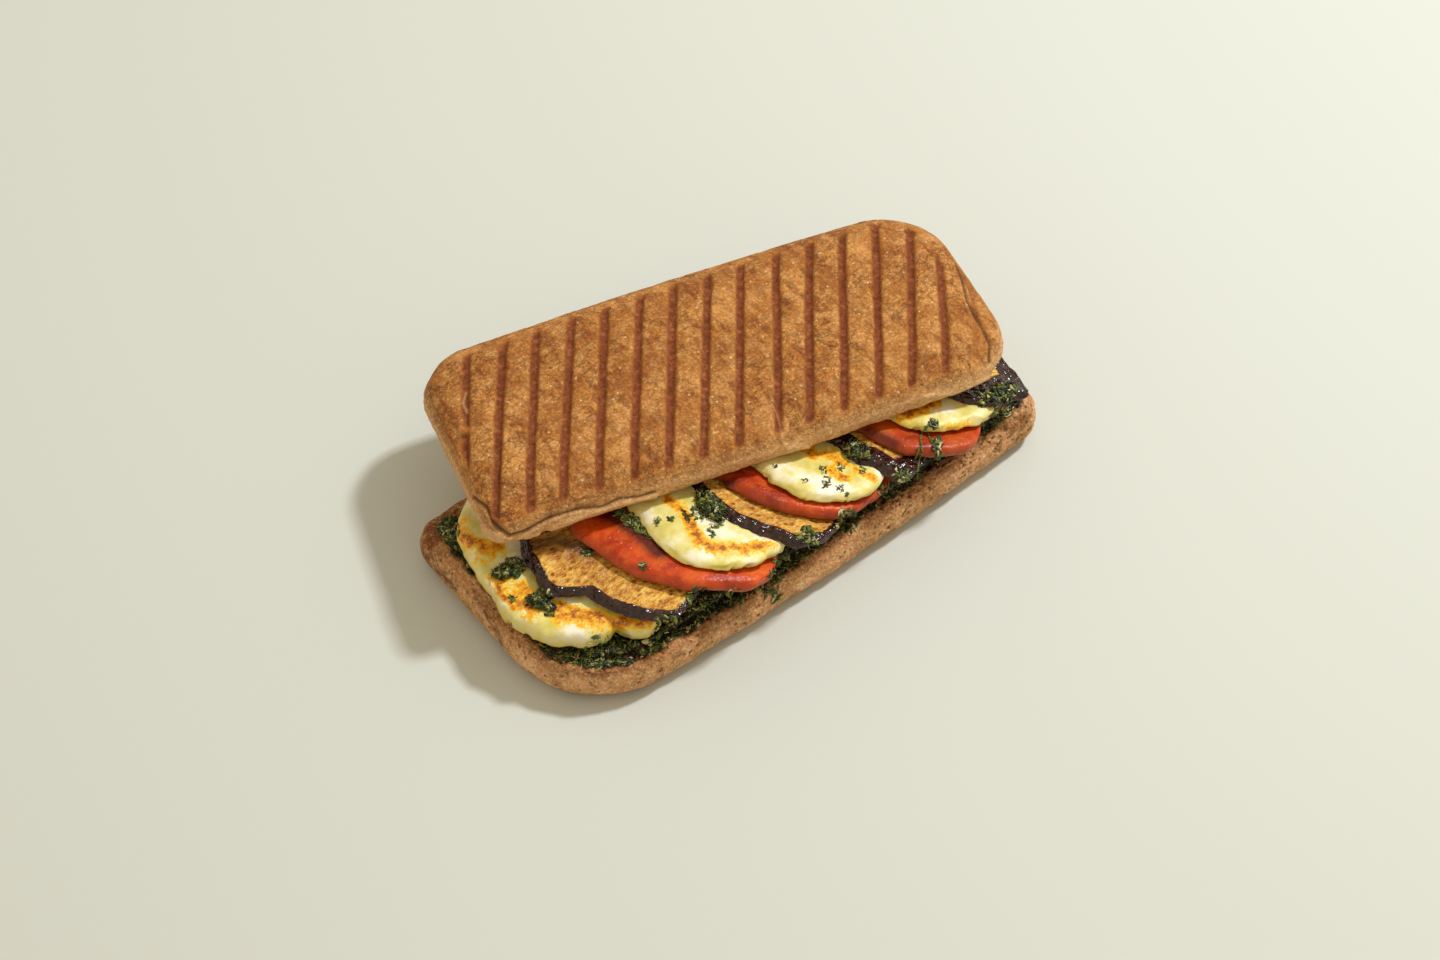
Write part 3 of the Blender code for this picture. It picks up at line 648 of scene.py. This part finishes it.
def flat_slice(name, radius, thickness, soft):
    """A flat round slice at the origin, its edges rounded and its faces ringed, ready to be shaped."""
    deselect()
    bpy.ops.mesh.primitive_cylinder_add(vertices=SLICE_SIDES, radius=radius * MM, depth=thickness * MM)
    piece = bpy.context.object
    piece.name = name
    bpy.ops.object.mode_set(mode="EDIT")
    select_parts(piece, "EDGE", lambda e: abs(e.verts[0].co.z - e.verts[1].co.z) > 0.5 * thickness * MM)
    bpy.ops.mesh.subdivide_edgering(number_cuts=2, interpolation="LINEAR")
    select_parts(piece, "EDGE", lambda e: all(abs(v.co.z) > 0.49 * thickness * MM for v in e.verts))
    bpy.ops.mesh.bevel(offset=soft * MM, segments=2, profile=0.5)
    for way in (1, -1):
        select_parts(piece, "FACE", lambda f: f.normal.z * way > 0.99 and len(f.verts) > 8)
        for step in FACE_RINGS:
            bpy.ops.mesh.inset(thickness=step * MM * radius / RING_RADIUS)
        bpy.ops.mesh.poke()
    bpy.ops.object.mode_set(mode="OBJECT")
    apply_modifier(piece, "SUBSURF", levels=2, render_levels=2)
    return piece


def rim_share(name, angle):
    """How far the rim lies from the middle at an angle, as a share of the plain oval."""
    degrees, shares = zip(*RIMS[name])
    return float(np.interp(math.degrees(angle), degrees, shares, period=360))


def halloumi_form(x, y, z, radius, thickness, seed):
    """Fried cheese: a torn scalloped edge that has swelled, and a bumpy fried face."""
    share = math.hypot(x, y) / radius
    rim = smooth_step((share - 0.75) / 0.25)
    low = smooth_step(0.5 - z / thickness)
    scallop = 0.8 * uneven(x, y, z, 3.6, seed) + 0.9 * low * abs(uneven(x, y, 0.0, 3.8, seed + 1))
    scallop -= 1.1 * low * smooth_step((uneven(x, y, 0.0, 2.7, seed + 6) - 0.25) / 0.15)
    swell = 0.9 * (1 - (2 * z / thickness) ** 2)
    grow = 1 + rim * (scallop + swell - 0.7) / radius
    lift = 0.35 * uneven(x, y, 0.0, 7.0, seed + 2) + 0.18 * uneven(x, y, 0.0, 2.2, seed + 3)
    return x * grow, y * grow, z + (lift if z > 0 else 0.4 * lift)


def wrinkle_share(x, y, z, share, seed):
    """How far the skin's wrinkles stand out at the rim, in millimetres."""
    return uneven(x, y, 2.5 * z, 2.4, seed + 5) * smooth_step((share - 0.93) / 0.07)


def eggplant_form(x, y, z, radius, thickness, seed):
    """Fried eggplant: it shrank in the pan, so its rim waves up and down and its flesh is pitted."""
    share = math.hypot(x, y) / radius
    angle = math.atan2(y, x)
    rim = smooth_step((share - 0.55) / 0.45)
    curl = uneven(3.2 * math.cos(angle), 3.2 * math.sin(angle), 0.0, 1.0, seed)
    fold = uneven(7 * math.cos(angle), 7 * math.sin(angle), 0.0, 1.0, seed + 1)
    grow = 1 + rim * (0.02 * fold + 0.015 * uneven(x, y, z, 3.0, seed + 2))
    grow += 0.8 * wrinkle_share(x, y, z, share, seed) / radius
    lip = smooth_step((share - 0.86) / 0.14) * (0.55 if z < 0 else 0.15)
    pit = abs(uneven(x, y, 0.0, 2.6, seed + 3)) * 0.7 if z > 0 else 0.0
    lift = rim * (1.5 * curl + 0.8 * fold) + 0.5 * uneven(x, y, 0.0, 9.0, seed + 4) - pit * (1 - 0.6 * rim)
    return x * grow, y * grow, z * (1 + lip) + lift


def tomato_form(x, y, z, radius, thickness, seed):
    """Fresh tomato: a smooth skin that stands a little proud, and wet flesh that sinks between the walls."""
    share = math.hypot(x, y) / radius
    angle = math.atan2(y, x)
    rim = smooth_step((share - 0.8) / 0.2)
    ribs = uneven(2.4 * math.cos(angle), 2.4 * math.sin(angle), 0.0, 1.0, seed)
    belly = 0.7 * (1 - (2 * z / thickness) ** 2)
    dents = 0.45 * uneven(x, y, 0.5 * z, 5.0, seed + 2)
    grow = 1 + rim * (0.9 * ribs + belly + dents - 0.5) / radius
    sink = 0.5 * smooth_step((0.93 - share) / 0.1) + 0.3 * uneven(x, y, 0.0, 6.0, seed + 1)
    return x * grow, y * grow, z - (sink if z > 0 else -sink) * (1 - rim)


FORMS = {"halloumi": halloumi_form, "eggplant": eggplant_form, "tomato": tomato_form}


def laid_slice(node_name, kind, radius, stretch, thickness, seed, place):
    """A slice that is shaped flat and then laid where the CAD has it."""
    piece = flat_slice(f"{node_name}_{'cut' if kind == 'tomato' else 'fried'}", radius, thickness, SOFT[kind])
    form = FORMS[kind]
    skin = SKIN.get(node_name, 0.0)
    rims, heights = [], []
    for vert in piece.data.vertices:
        x, y, z = vert.co / MM
        out = math.hypot(x, y)
        share = min(out / radius, 1.0)
        grow = 1 + (rim_share(node_name, math.atan2(y, x)) - 1) * share ** 1.6
        rims.append((radius - out) * grow - skin)
        heights.append(2 * z / thickness)
        down, along, above = form(x, y, z, radius, thickness, 100 + 10 * seed)
        vert.co = place(down * stretch * grow, along * grow, above) * MM
    browned = brushed(piece, FRIED.get(node_name, ()))
    # How strongly each point of the slice is painted darker as shade.
    stained = brushed(piece, SHADE_STROKES.get(node_name, ()))
    write_attributes(piece, rim=rims, height=heights, brown=browned, stain=stained)
    return piece


def all_slices():
    made = {}
    cx, cy, long_half, wide_half, turn = FIRST_SLICE

    def flat_place(down, along, above):
        return Vector((cx + math.cos(turn) * down - math.sin(turn) * along,
                       cy + math.sin(turn) * down + math.cos(turn) * along,
                       FLOOR + FIRST_THICKNESS / 2 + above))

    made["halloumi_1"] = laid_slice("halloumi_1", "halloumi", wide_half, long_half / wide_half,
                                    FIRST_THICKNESS, 1, flat_place)
    depth = STACK_START
    before = None
    for seed, (name, kind, x, y, long_half, wide_half, room) in enumerate(SLICES, 2):
        thickness = THICKNESS[kind]
        if before is not None:
            depth += before / 2 + thickness / 2 + SLICE_GAP + room
        before = thickness
        middle = Vector((x, y, (depth - NORMAL.x * x - NORMAL.y * y) / NORMAL.z))

        def place(down, along, above, middle=middle):
            return pressed(*(middle + SLOPE * down + LEVEL * along + NORMAL * above))

        made[name] = laid_slice(name, kind, wide_half, long_half / wide_half, thickness, seed, place)
    return made


# Pesto and herbs

def lumpy(node_name, name, voxel, coarse, fine, seed):
    """Pesto: a copy of its CAD solid with the lumps of chopped leaves and nuts."""
    piece = cad_copy(node_name, name, voxel)
    moved = []
    for vert in piece.data.vertices:
        x, y, z = vert.co / MM
        up = smooth_step((vert.normal.z + 0.2) / 0.6)
        lift = up * (coarse * uneven(x, y, z, 4.0, seed) + fine * uneven(x, y, z, 1.6, seed + 1))
        moved.append(vert.co / MM + vert.normal * lift)
    set_points(piece, moved)
    return piece


def leaf_bit(seed):
    """A bit of chopped leaf about 2 units across: a torn, bent scrap, its points and faces."""
    deselect()
    bpy.ops.mesh.primitive_circle_add(vertices=7, radius=1.0, fill_type="NGON")
    piece = bpy.context.object
    bpy.ops.object.mode_set(mode="EDIT")
    bpy.ops.mesh.select_all(action="SELECT")
    bpy.ops.mesh.poke()
    bpy.ops.object.mode_set(mode="OBJECT")
    rng = random.Random(seed)
    for vert in piece.data.vertices:
        x, y, _ = vert.co
        x *= rng.uniform(0.7, 1.4)
        y *= rng.uniform(0.4, 0.9)
        vert.co = (x, y, 0.35 * x * x - 0.25 * y + rng.uniform(-0.12, 0.12))
    apply_modifier(piece, "SOLIDIFY", thickness=0.22)
    points = np.array([vert.co[:] for vert in piece.data.vertices])
    faces = [tuple(face.vertices) for face in piece.data.polygons]
    bpy.data.objects.remove(piece)
    return points, faces


def scatter_bits(name, kinds, spots):
    """One mesh of many leaf bits. A spot is (place, surface normal, size, shade, random source)."""
    points, faces, shades = [], [], []
    count = 0
    for place, normal, size, shade, rng in spots:
        shape, sides = kinds[rng.randrange(len(kinds))]
        tilt = Vector((rng.uniform(-0.5, 0.5), rng.uniform(-0.5, 0.5), rng.uniform(-0.5, 0.5)))
        up = (normal + tilt).normalized()
        turn = up.to_track_quat("Z", "Y").to_matrix() @ Euler((0, 0, rng.uniform(0, 6.28))).to_matrix()
        scaled = shape * size * np.array([rng.uniform(0.8, 1.3), rng.uniform(0.7, 1.1), 1.0])
        placed = scaled @ np.array(turn).T + np.array(place + normal * 0.25 * size)
        points.append(placed)
        faces += [tuple(k + count for k in side) for side in sides]
        shades += [shade] * len(placed)
        count += len(placed)
    mesh = bpy.data.meshes.new(name)
    mesh.from_pydata((np.concatenate(points) * MM).tolist(), [], faces)
    piece = bpy.data.objects.new(name, mesh)
    bpy.context.scene.collection.objects.link(piece)
    write_attributes(piece, shade=shades)
    return piece


def pesto_edge(x, y):
    """How far from the bread's outline the pesto ends here."""
    front = smooth_step((-15.0 - y) / 10) * smooth_step((18.0 - x) / 30)
    return 6.6 - 2.4 * front + 1.1 * uneven(x, y, 0.0, 5.0, 24)


def spread_spots(spread, base, slices, lid):
    """Where leaf bits lie on the pesto and over its edge, wherever nothing covers it."""
    rng = random.Random(5)
    own = tree_of([spread, base])
    cover = tree_of(slices + [lid])
    spots = []
    for _ in range(SPREAD_TRIES):
        x = rng.uniform(-101, 101)
        y = rng.uniform(-50, 50)
        if -outside(x, y, BASE) < pesto_edge(x, y):
            continue
        hit, normal = own.ray_cast(Vector((x, y, 60)), Vector((0, 0, -1)))[:2]
        if hit is None:
            continue
        above = cover.ray_cast(hit + Vector((0, 0, 0.3)), Vector((0, 0, 1)))[3]
        if above is not None and above < 2.5:
            continue
        spots.append((hit, normal, rng.uniform(0.6, 1.15), rng.random() ** 1.5, rng))
    return spots


def dab_spots(dabs):
    """Leaf bits all over the dabs of pesto."""
    rng = random.Random(7)
    spots = []
    for dab in dabs:
        tops = [vert for vert in dab.data.vertices if vert.normal.z > 0.1]
        for _ in range(DAB_BITS):
            vert = tops[rng.randrange(len(tops))]
            spots.append((vert.co / MM, vert.normal.copy(), rng.uniform(0.6, 1.1), rng.random() ** 1.5, rng))
    return spots


def seen_place(px, py, target, screen):
    """Where the camera's line of sight through a pixel meets the target, unless the screen hides it."""
    way = sight(px, py)
    hit, normal, _, far = target.ray_cast(EYE, way)
    hidden = screen.ray_cast(EYE, way)[3]
    if hit is None or (hidden is not None and hidden < far):
        return None
    return hit, normal


def sprinkle_spots(clusters, target, screen, seed):
    """Leaf bits that the photograph shows on the slices: each cluster is (pixel x, pixel y, spread, count,
    size), and each bit lies where the camera sees its pixel."""
    rng = random.Random(seed)
    spots = []
    for px, py, spread, count, size in clusters:
        for _ in range(count):
            turn = rng.uniform(0, 2 * math.pi)
            out = spread * 1.5 * math.sqrt(rng.random())
            seen = seen_place(px + out * math.cos(turn), py + out * math.sin(turn), target, screen)
            if seen:
                spots.append((*seen, size * rng.uniform(0.6, 1.3), 0.25 + 0.75 * rng.random() ** 1.2, rng))
    return spots


def sprig_spots(stems, target, screen, seed):
    """Short bits in a row along each stem of the sprig."""
    rng = random.Random(seed)
    spots = []
    for stem in stems:
        for (ax, ay), (bx, by) in zip(stem, stem[1:]):
            count = round(math.hypot(bx - ax, by - ay) / 0.8)
            for k in range(count):
                seen = seen_place(ax + (bx - ax) * k / count, ay + (by - ay) * k / count, target, screen)
                if seen:
                    spots.append((seen[0] + 0.3 * seen[1], seen[1], 0.36, rng.uniform(0.5, 0.8), rng))
    return spots


# Materials

def colour_mix(tree, share, first, second, **settings):
    """A Mix node's colour: sockets or hex colours, blended by a share."""
    first, second = (linear(c) if isinstance(c, str) else c for c in (first, second))
    inputs = {0: share, 6: first, 7: second}
    return node(tree, "ShaderNodeMix", inputs, data_type="RGBA", **settings).outputs[2]


def ramp_colour(tree, value, *stops):
    """The colour that a ramp of (place, hex colour) stops gives a value."""
    return node(tree, "ShaderNodeValToRGB", {"Fac": value}, ramp=stops).outputs["Color"]


def step_up(tree, value, low, high, bottom=0.0, top=1.0):
    """A value mapped evenly from low..high to bottom..top, and no further."""
    return node(tree, "ShaderNodeMapRange", {"Value": value, 1: low, 2: high, 3: bottom, 4: top}).outputs[0]


def maths(tree, operation, *values):
    return node(tree, "ShaderNodeMath", dict(enumerate(values)), operation=operation).outputs[0]


def attribute(tree, name):
    return node(tree, "ShaderNodeAttribute", attribute_name=name).outputs["Fac"]


def cloud(tree, place, size, detail=3.0, roughness=0.6):
    """Noise whose patches are size metres across."""
    return node(tree, "ShaderNodeTexNoise", {"Vector": place, "Scale": 1 / size, "Detail": detail,
                                             "Roughness": roughness}).outputs["Fac"]


def drawn_out_cloud(tree, place, turn, along, across, detail, roughness):
    """Noise whose patches are longer one way than the other, in millimetres, after a turn about Z."""
    turned = node(tree, "ShaderNodeMapping", {"Vector": place, "Rotation": (0.0, 0.0, turn),
                                              "Scale": (1 / along, 1 / across, 1 / across)}).outputs[0]
    return cloud(tree, turned, MM, detail, roughness)


def cells(tree, place, size):
    """The distance to the nearest of many middles that lie about size metres apart, as a share of size."""
    return node(tree, "ShaderNodeTexVoronoi", {"Vector": place, "Scale": 1 / size}).outputs["Distance"]


def grain_over(tree, place, colour, size, strength):
    """A colour with the light and dark grain of flour and bran."""
    grain = ramp_colour(tree, cloud(tree, place, size, 3.0, 0.75),
                        (0.34, "#1e1e1e"), (0.5, "#808080"), (0.68, "#f4f4f4"))
    return colour_mix(tree, strength, colour, grain, blend_type="OVERLAY")


def give_relief(tree, shader, height, strength, depth):
    """Relief too fine for the mesh, depth metres deep."""
    bump = node(tree, "ShaderNodeBump", {"Height": height, "Strength": strength, "Distance": depth})
    tree.links.new(bump.outputs["Normal"], shader.inputs["Normal"])


def crumbly(tree, place, pore_size):
    """The height of a crust's fine grain and pores."""
    pores = step_up(tree, cells(tree, place, pore_size), 0.0, 0.4)
    return maths(tree, "ADD", cloud(tree, place, 0.0009, 3.0, 0.7), pores)


def let_light_in(shader, weight, radius, scale):
    shader.inputs["Subsurface Weight"].default_value = weight
    shader.inputs["Subsurface Radius"].default_value = radius
    shader.inputs["Subsurface Scale"].default_value = scale


def upper_crust():
    """Grilled flatbread crust: matt golden brown, floury in its grain, with darker smears where it was
    pressed hardest. The grill's marks are purple-brown burnt sugar, and the side wall is paler."""
    made, tree, shader, place = new_material("grilled_bread_crust")
    body = ramp_colour(tree, cloud(tree, place, 0.014), (0.3, "#a26129"), (0.5, "#b57534"), (0.7, "#ca904c"))
    across_marks = -LID_TURN - MARK_TURN
    smear = drawn_out_cloud(tree, place, across_marks, 3.2, 9.0, 3.0, 0.6)
    body = colour_mix(tree, step_up(tree, smear, 0.5, 0.66, 0.0, 0.8), body, "#8a4b1b")
    patch = step_up(tree, cloud(tree, place, 0.0052, 4.0, 0.65), 0.48, 0.68, 0.0, 0.6)
    body = colour_mix(tree, patch, body, "#d6a363")
    # Painted shade: fine folds are drawn as dark lines, for the shade inside them, and are also sunk as
    # relief.
    fold = maths(tree, "SUBTRACT", drawn_out_cloud(tree, place, across_marks, 8.0, 5.0, 4.0, 0.65), 0.5)
    line = maths(tree, "MULTIPLY", step_up(tree, maths(tree, "ABSOLUTE", fold), 0.0, 0.03, 1.0, 0.0),
                 step_up(tree, cloud(tree, place, 0.02, 2.0), 0.42, 0.6, 0.0, 0.7))
    body = colour_mix(tree, line, body, "#74390f")
    body = colour_mix(tree, step_up(tree, attribute(tree, "wall"), 0.15, 0.8, 0.0, 0.85), body, "#d8b078")
    body = grain_over(tree, place, body, 0.0011, 0.42)
    body = colour_mix(tree, step_up(tree, cells(tree, place, 0.0042), 0.07, 0.12, 0.55, 0.0), body, "#f0cf9a")
    mark = attribute(tree, "mark")
    burnt = cloud(tree, place, 0.0022)
    burnt = ramp_colour(tree, burnt, (0.35, "#67300f"), (0.55, "#80421f"), (0.72, "#9c5f38"))
    body = colour_mix(tree, step_up(tree, mark, 0.02, 0.4, 0.0, 0.6), body, "#96561f")
    body = colour_mix(tree, step_up(tree, mark, 0.25, 0.85), body, burnt)
    # Painted shade: the creases of the upper bread are darkened as the shade in their folds.
    body = colour_mix(tree, step_up(tree, attribute(tree, "crease"), 0.2, 0.9, 0.0, 0.85), body, "#5a3417")
    body = colour_mix(tree, step_up(tree, attribute(tree, "wrinkle"), 0.2, 0.5, 0.0, 0.45), body, "#dcb078")
    tree.links.new(body, shader.inputs["Base Color"])
    height = maths(tree, "MULTIPLY_ADD", line, -1.5, crumbly(tree, place, 0.0014))
    give_relief(tree, shader, height, 0.5, 0.0005)
    shader.inputs["Roughness"].default_value = 0.8
    shader.inputs["Specular IOR Level"].default_value = 0.25
    return made


def lower_crust():
    """Flatbread crust, less baked: matt tan with open crumb and pores painted dark as the shade in them,
    red-brown on the toasted rim, and purple-brown grill marks underneath."""
    made, tree, shader, place = new_material("toasted_bread_crust")
    body = ramp_colour(tree, cloud(tree, place, 0.012), (0.3, "#c4965d"), (0.5, "#dbb179"), (0.7, "#ecc693"))
    patch = step_up(tree, cloud(tree, place, 0.0046, 4.0, 0.65), 0.5, 0.68, 0.0, 0.6)
    body = colour_mix(tree, patch, body, "#a26a38")
    warm = maths(tree, "MULTIPLY", attribute(tree, "rim"),
                 step_up(tree, cloud(tree, place, 0.006), 0.35, 0.6, 0.35, 1.0))
    body = colour_mix(tree, step_up(tree, warm, 0.0, 1.0, 0.0, 0.6), body, "#b97743")
    toasted = maths(tree, "MULTIPLY", attribute(tree, "toast"),
                    step_up(tree, cloud(tree, place, 0.0026), 0.36, 0.56, 0.3, 1.0))
    body = colour_mix(tree, step_up(tree, toasted, 0.0, 0.6, 0.0, 0.85), body, "#8f4e28")
    body = colour_mix(tree, step_up(tree, toasted, 0.7, 1.0), body, "#33260f")
    body = grain_over(tree, place, body, 0.001, 0.5)
    # Painted shade: the pores and the pits of the open crumb are darkened for the shade inside them.
    hole = step_up(tree, cells(tree, place, 0.0034), 0.1, 0.22, 0.6, 0.0)
    body = colour_mix(tree, hole, body, "#74492a")
    body = colour_mix(tree, step_up(tree, attribute(tree, "pit"), 0.15, 0.8, 0.0, 0.8), body, "#5f3d1c")
    body = colour_mix(tree, step_up(tree, attribute(tree, "mark"), 0.3, 0.8), body, "#84472f")
    tree.links.new(body, shader.inputs["Base Color"])
    height = maths(tree, "MULTIPLY_ADD", hole, -2.0, crumbly(tree, place, 0.0018))
    give_relief(tree, shader, height, 0.9, 0.0008)
    shader.inputs["Roughness"].default_value = 0.85
    shader.inputs["Specular IOR Level"].default_value = 0.2
    return made


def halloumi_material():
    """Fried halloumi: dense ivory cheese that lets a little light in, browned golden to orange where it lay
    in the pan, and slightly oily. Low on its side it is painted darker and yellower as shade."""
    made, tree, shader, place = new_material("fried_halloumi")
    ivory = cloud(tree, place, 0.011)
    ivory = ramp_colour(tree, ivory, (0.36, "#d2c25e"), (0.5, "#e3d78c"), (0.62, "#f1ead2"))
    mottle = maths(tree, "MULTIPLY_ADD", cloud(tree, place, 0.006), 0.9, cloud(tree, place, 0.0016, 3.0, 0.7))
    brown = attribute(tree, "brown")
    amount = maths(tree, "ADD", brown, step_up(tree, mottle, 0.7, 1.2, -0.75, 0.3))
    amount = maths(tree, "MULTIPLY", amount, step_up(tree, brown, 0.0, 0.3))
    golden = ramp_colour(tree, amount,
                         (0.0, "#ecd660"), (0.3, "#f0bc20"), (0.62, "#e09212"), (0.95, "#9c5410"))
    # Painted shade: low on its side the cheese is painted darker and yellower.
    low = step_up(tree, attribute(tree, "height"), 0.85, -0.3, 0.0, 0.8)
    ivory = colour_mix(tree, low, ivory, "#cdb54c")
    colour = colour_mix(tree, step_up(tree, amount, 0.02, 0.22), ivory, golden)
    tree.links.new(colour, shader.inputs["Base Color"])
    give_relief(tree, shader, mottle, 0.35, 0.0006)
    shader.inputs["Roughness"].default_value = 0.4
    let_light_in(shader, 0.2, (0.004, 0.0028, 0.0014), 0.4)
    return made


def eggplant_material():
    """Fried eggplant: golden oily flesh with brown pits, inside a wrinkled, nearly black purple skin."""
    made, tree, shader, place = new_material("fried_eggplant")
    fine = cloud(tree, place, 0.0018, 4.0, 0.7)
    fibre = drawn_out_cloud(tree, place, math.radians(20.0), 3.6, 1.6, 3.0, 0.65)
    pits = step_up(tree, cells(tree, place, 0.0028), 0.0, 0.35, 0.4, 1.0)
    spots = maths(tree, "MULTIPLY", pits, fibre)
    flesh = ramp_colour(tree, spots, (0.2, "#5a2d0a"), (0.34, "#a86414"), (0.45, "#d29122"), (0.6, "#efc055"))
    broad = step_up(tree, cloud(tree, place, 0.008, 2.0), 0.42, 0.66, 0.0, 0.6)
    flesh = colour_mix(tree, broad, flesh, "#9a5714")
    # Painted shade: the flesh is darkened where the slice lies in the shade of the one above.
    flesh = colour_mix(tree, step_up(tree, attribute(tree, "stain"), 0.1, 0.9, 0.0, 0.8), flesh, "#4a2610")
    skin = step_up(tree, maths(tree, "MULTIPLY_ADD", fine, 1.6, attribute(tree, "rim")), 0.9, 1.5, 1.0, 0.0)
    peel = ramp_colour(tree, fine, (0.36, "#0f0506"), (0.54, "#311410"), (0.7, "#5d2c20"))
    tree.links.new(colour_mix(tree, skin, flesh, peel), shader.inputs["Base Color"])
    tree.links.new(step_up(tree, skin, 0.0, 1.0, 0.36, 0.17), shader.inputs["Roughness"])
    shader.inputs["Specular IOR Level"].default_value = 0.55
    wrinkles = cloud(tree, place, 0.0026, 2.0, 0.5)
    relief = node(tree, "ShaderNodeMix", {0: skin, 2: spots, 3: wrinkles}, data_type="FLOAT").outputs[0]
    give_relief(tree, shader, relief, 1.0, 0.0016)
    return made


def tomato_material():
    """Ripe tomato: orange-red flesh, wet on top; the wall under the skin is duller, and painted darker low
    down as shade.
    """
    made, tree, shader, place = new_material("ripe_tomato")
    fine = cloud(tree, place, 0.0011, 3.0)
    flesh = cloud(tree, place, 0.011, 2.0)
    flesh = ramp_colour(tree, flesh, (0.34, "#a02a04"), (0.5, "#c74408"), (0.68, "#da6212"))
    pale = step_up(tree, cloud(tree, place, 0.0028), 0.52, 0.72, 0.0, 0.5)
    flesh = colour_mix(tree, pale, flesh, "#d86826")
    # The wall under the skin is duller in its own colour, and painted darker low down as shade.
    wall = step_up(tree, attribute(tree, "rim"), 1.6, 0.4, 0.0, 0.7)
    side = maths(tree, "MULTIPLY", wall, step_up(tree, attribute(tree, "height"), 0.8, -0.4))
    colour = colour_mix(tree, side, flesh, "#9c431d")
    # Painted shade: the tomato is darkened where it lies in the shade of the slice or bread above.
    colour = colour_mix(tree, step_up(tree, attribute(tree, "stain"), 0.1, 0.8, 0.0, 0.92), colour, "#420a04")
    tree.links.new(colour, shader.inputs["Base Color"])
    drops = step_up(tree, cells(tree, place, 0.0032), 0.05, 0.2, 1.0, 0.0)
    wet = maths(tree, "MULTIPLY_ADD", fine, 0.4, drops)
    wet = maths(tree, "MULTIPLY_ADD", cloud(tree, place, 0.0032, 2.0), 1.5, wet)
    give_relief(tree, shader, wet, 0.45, 0.0007)
    tree.links.new(step_up(tree, fine, 0.4, 0.65, 0.32, 0.55), shader.inputs["Roughness"])
    shader.inputs["Specular IOR Level"].default_value = 0.36
    let_light_in(shader, 0.1, (0.003, 0.0008, 0.0004), 0.5)
    return made


def pesto_material():
    """Herb pesto: nearly black green oil and pulp, with lighter bits of leaf and nut in it."""
    made, tree, shader, place = new_material("oily_herb_pesto")
    fine = cloud(tree, place, 0.0016, 3.0, 0.7)
    colour = ramp_colour(tree, fine,
                         (0.42, "#0d0c05"), (0.55, "#211f0c"), (0.66, "#403e17"), (0.76, "#827a3c"))
    tree.links.new(colour, shader.inputs["Base Color"])
    give_relief(tree, shader, fine, 0.9, 0.001)
    shader.inputs["Roughness"].default_value = 0.4
    shader.inputs["Specular IOR Level"].default_value = 0.3
    return made


def herb_material():
    """Chopped basil and parsley, wet with oil: dark to fresh green, a few bits pale as nut or cheese."""
    made, tree, shader, _ = new_material("chopped_herbs")
    colour = ramp_colour(tree, attribute(tree, "shade"),
                         (0.0, "#131608"), (0.38, "#2f3b15"), (0.66, "#5d6b22"), (0.88, "#939142"),
                         (0.97, "#cbbd88"))
    tree.links.new(colour, shader.inputs["Base Color"])
    shader.inputs["Roughness"].default_value = 0.42
    return made


def floor_material():
    """Plain matt pale board."""
    made, _, shader, _ = new_material("pale_board")
    shader.inputs["Base Color"].default_value = linear("#c9cbc3")
    shader.inputs["Roughness"].default_value = 0.85
    return made


# The build

make_camera()
crust_upper = upper_crust()
crust_lower = lower_crust()
looks = {"halloumi": halloumi_material(), "eggplant": eggplant_material(), "tomato": tomato_material()}
pesto = pesto_material()
herbs = herb_material()

lid = finish_piece(baked_lid(), crust_upper, ["bread_lid"])
base = finish_piece(baked_base(), crust_lower, ["bread_base"])
slices = all_slices()
for node_name, piece in slices.items():
    kind = node_name.split("_")[0]
    finish_piece(piece, looks[kind], [node_name])
spread = lumpy("pesto_spread", "pesto_spread_lumpy", SPREAD_VOXEL, 0.8, 0.5, 80)
finish_piece(spread, pesto, ["pesto_spread"])
dabs = []
for number in range(1, 6):
    dab = lumpy(f"pesto_dab_{number}", f"pesto_dab_{number}_lumpy", DAB_VOXEL, 0.8, 0.6, 82 + number)
    dabs.append(finish_piece(dab, pesto, [f"pesto_dab_{number}"]))

bits = [leaf_bit(seed) for seed in range(6)]
spots = spread_spots(spread, base, list(slices.values()), lid) + dab_spots(dabs)
finish_piece(scatter_bits("pesto_leaf_bits", bits, spots), herbs, [])
on_show = tree_of([base, spread] + list(slices.values()) + dabs)
screen = tree_of([lid])
spots = sprinkle_spots(SPRINKLES, on_show, screen, 6) + sprinkle_spots(SPRIG_LEAVES, on_show, screen, 8)
spots += sprig_spots(SPRIG_STEMS, on_show, screen, 9)
spots += sprinkle_spots(SHADED_PESTO, tree_of([slices["tomato_1"]]), screen, 10)
finish_piece(scatter_bits("sprinkled_herbs", bits, spots), herbs, [])

bpy.ops.mesh.primitive_plane_add(size=4.0)
floor = bpy.context.object
floor.name = "studio_floor"
floor.data.materials.append(floor_material())

# A soft key light high on the right, so that the shadow falls to the left, and an even warm sky for fill.
deselect()
bpy.ops.object.light_add(type="AREA", location=KEY_PLACE)
key = bpy.context.object
key.name = "key_light"
key.data.size = KEY_SIZE
key.data.energy = KEY_ENERGY
key.data.color = KEY_COLOUR
key.rotation_euler = (-key.location).to_track_quat("-Z", "Y").to_euler()
world = bpy.data.worlds.new("studio_sky")
bpy.context.scene.world = world
world.use_nodes = True
sky = world.node_tree.nodes["Background"]
sky.inputs["Color"].default_value = SKY_COLOUR
sky.inputs["Strength"].default_value = SKY_STRENGTH
bpy.context.scene.view_settings.view_transform = "Standard"
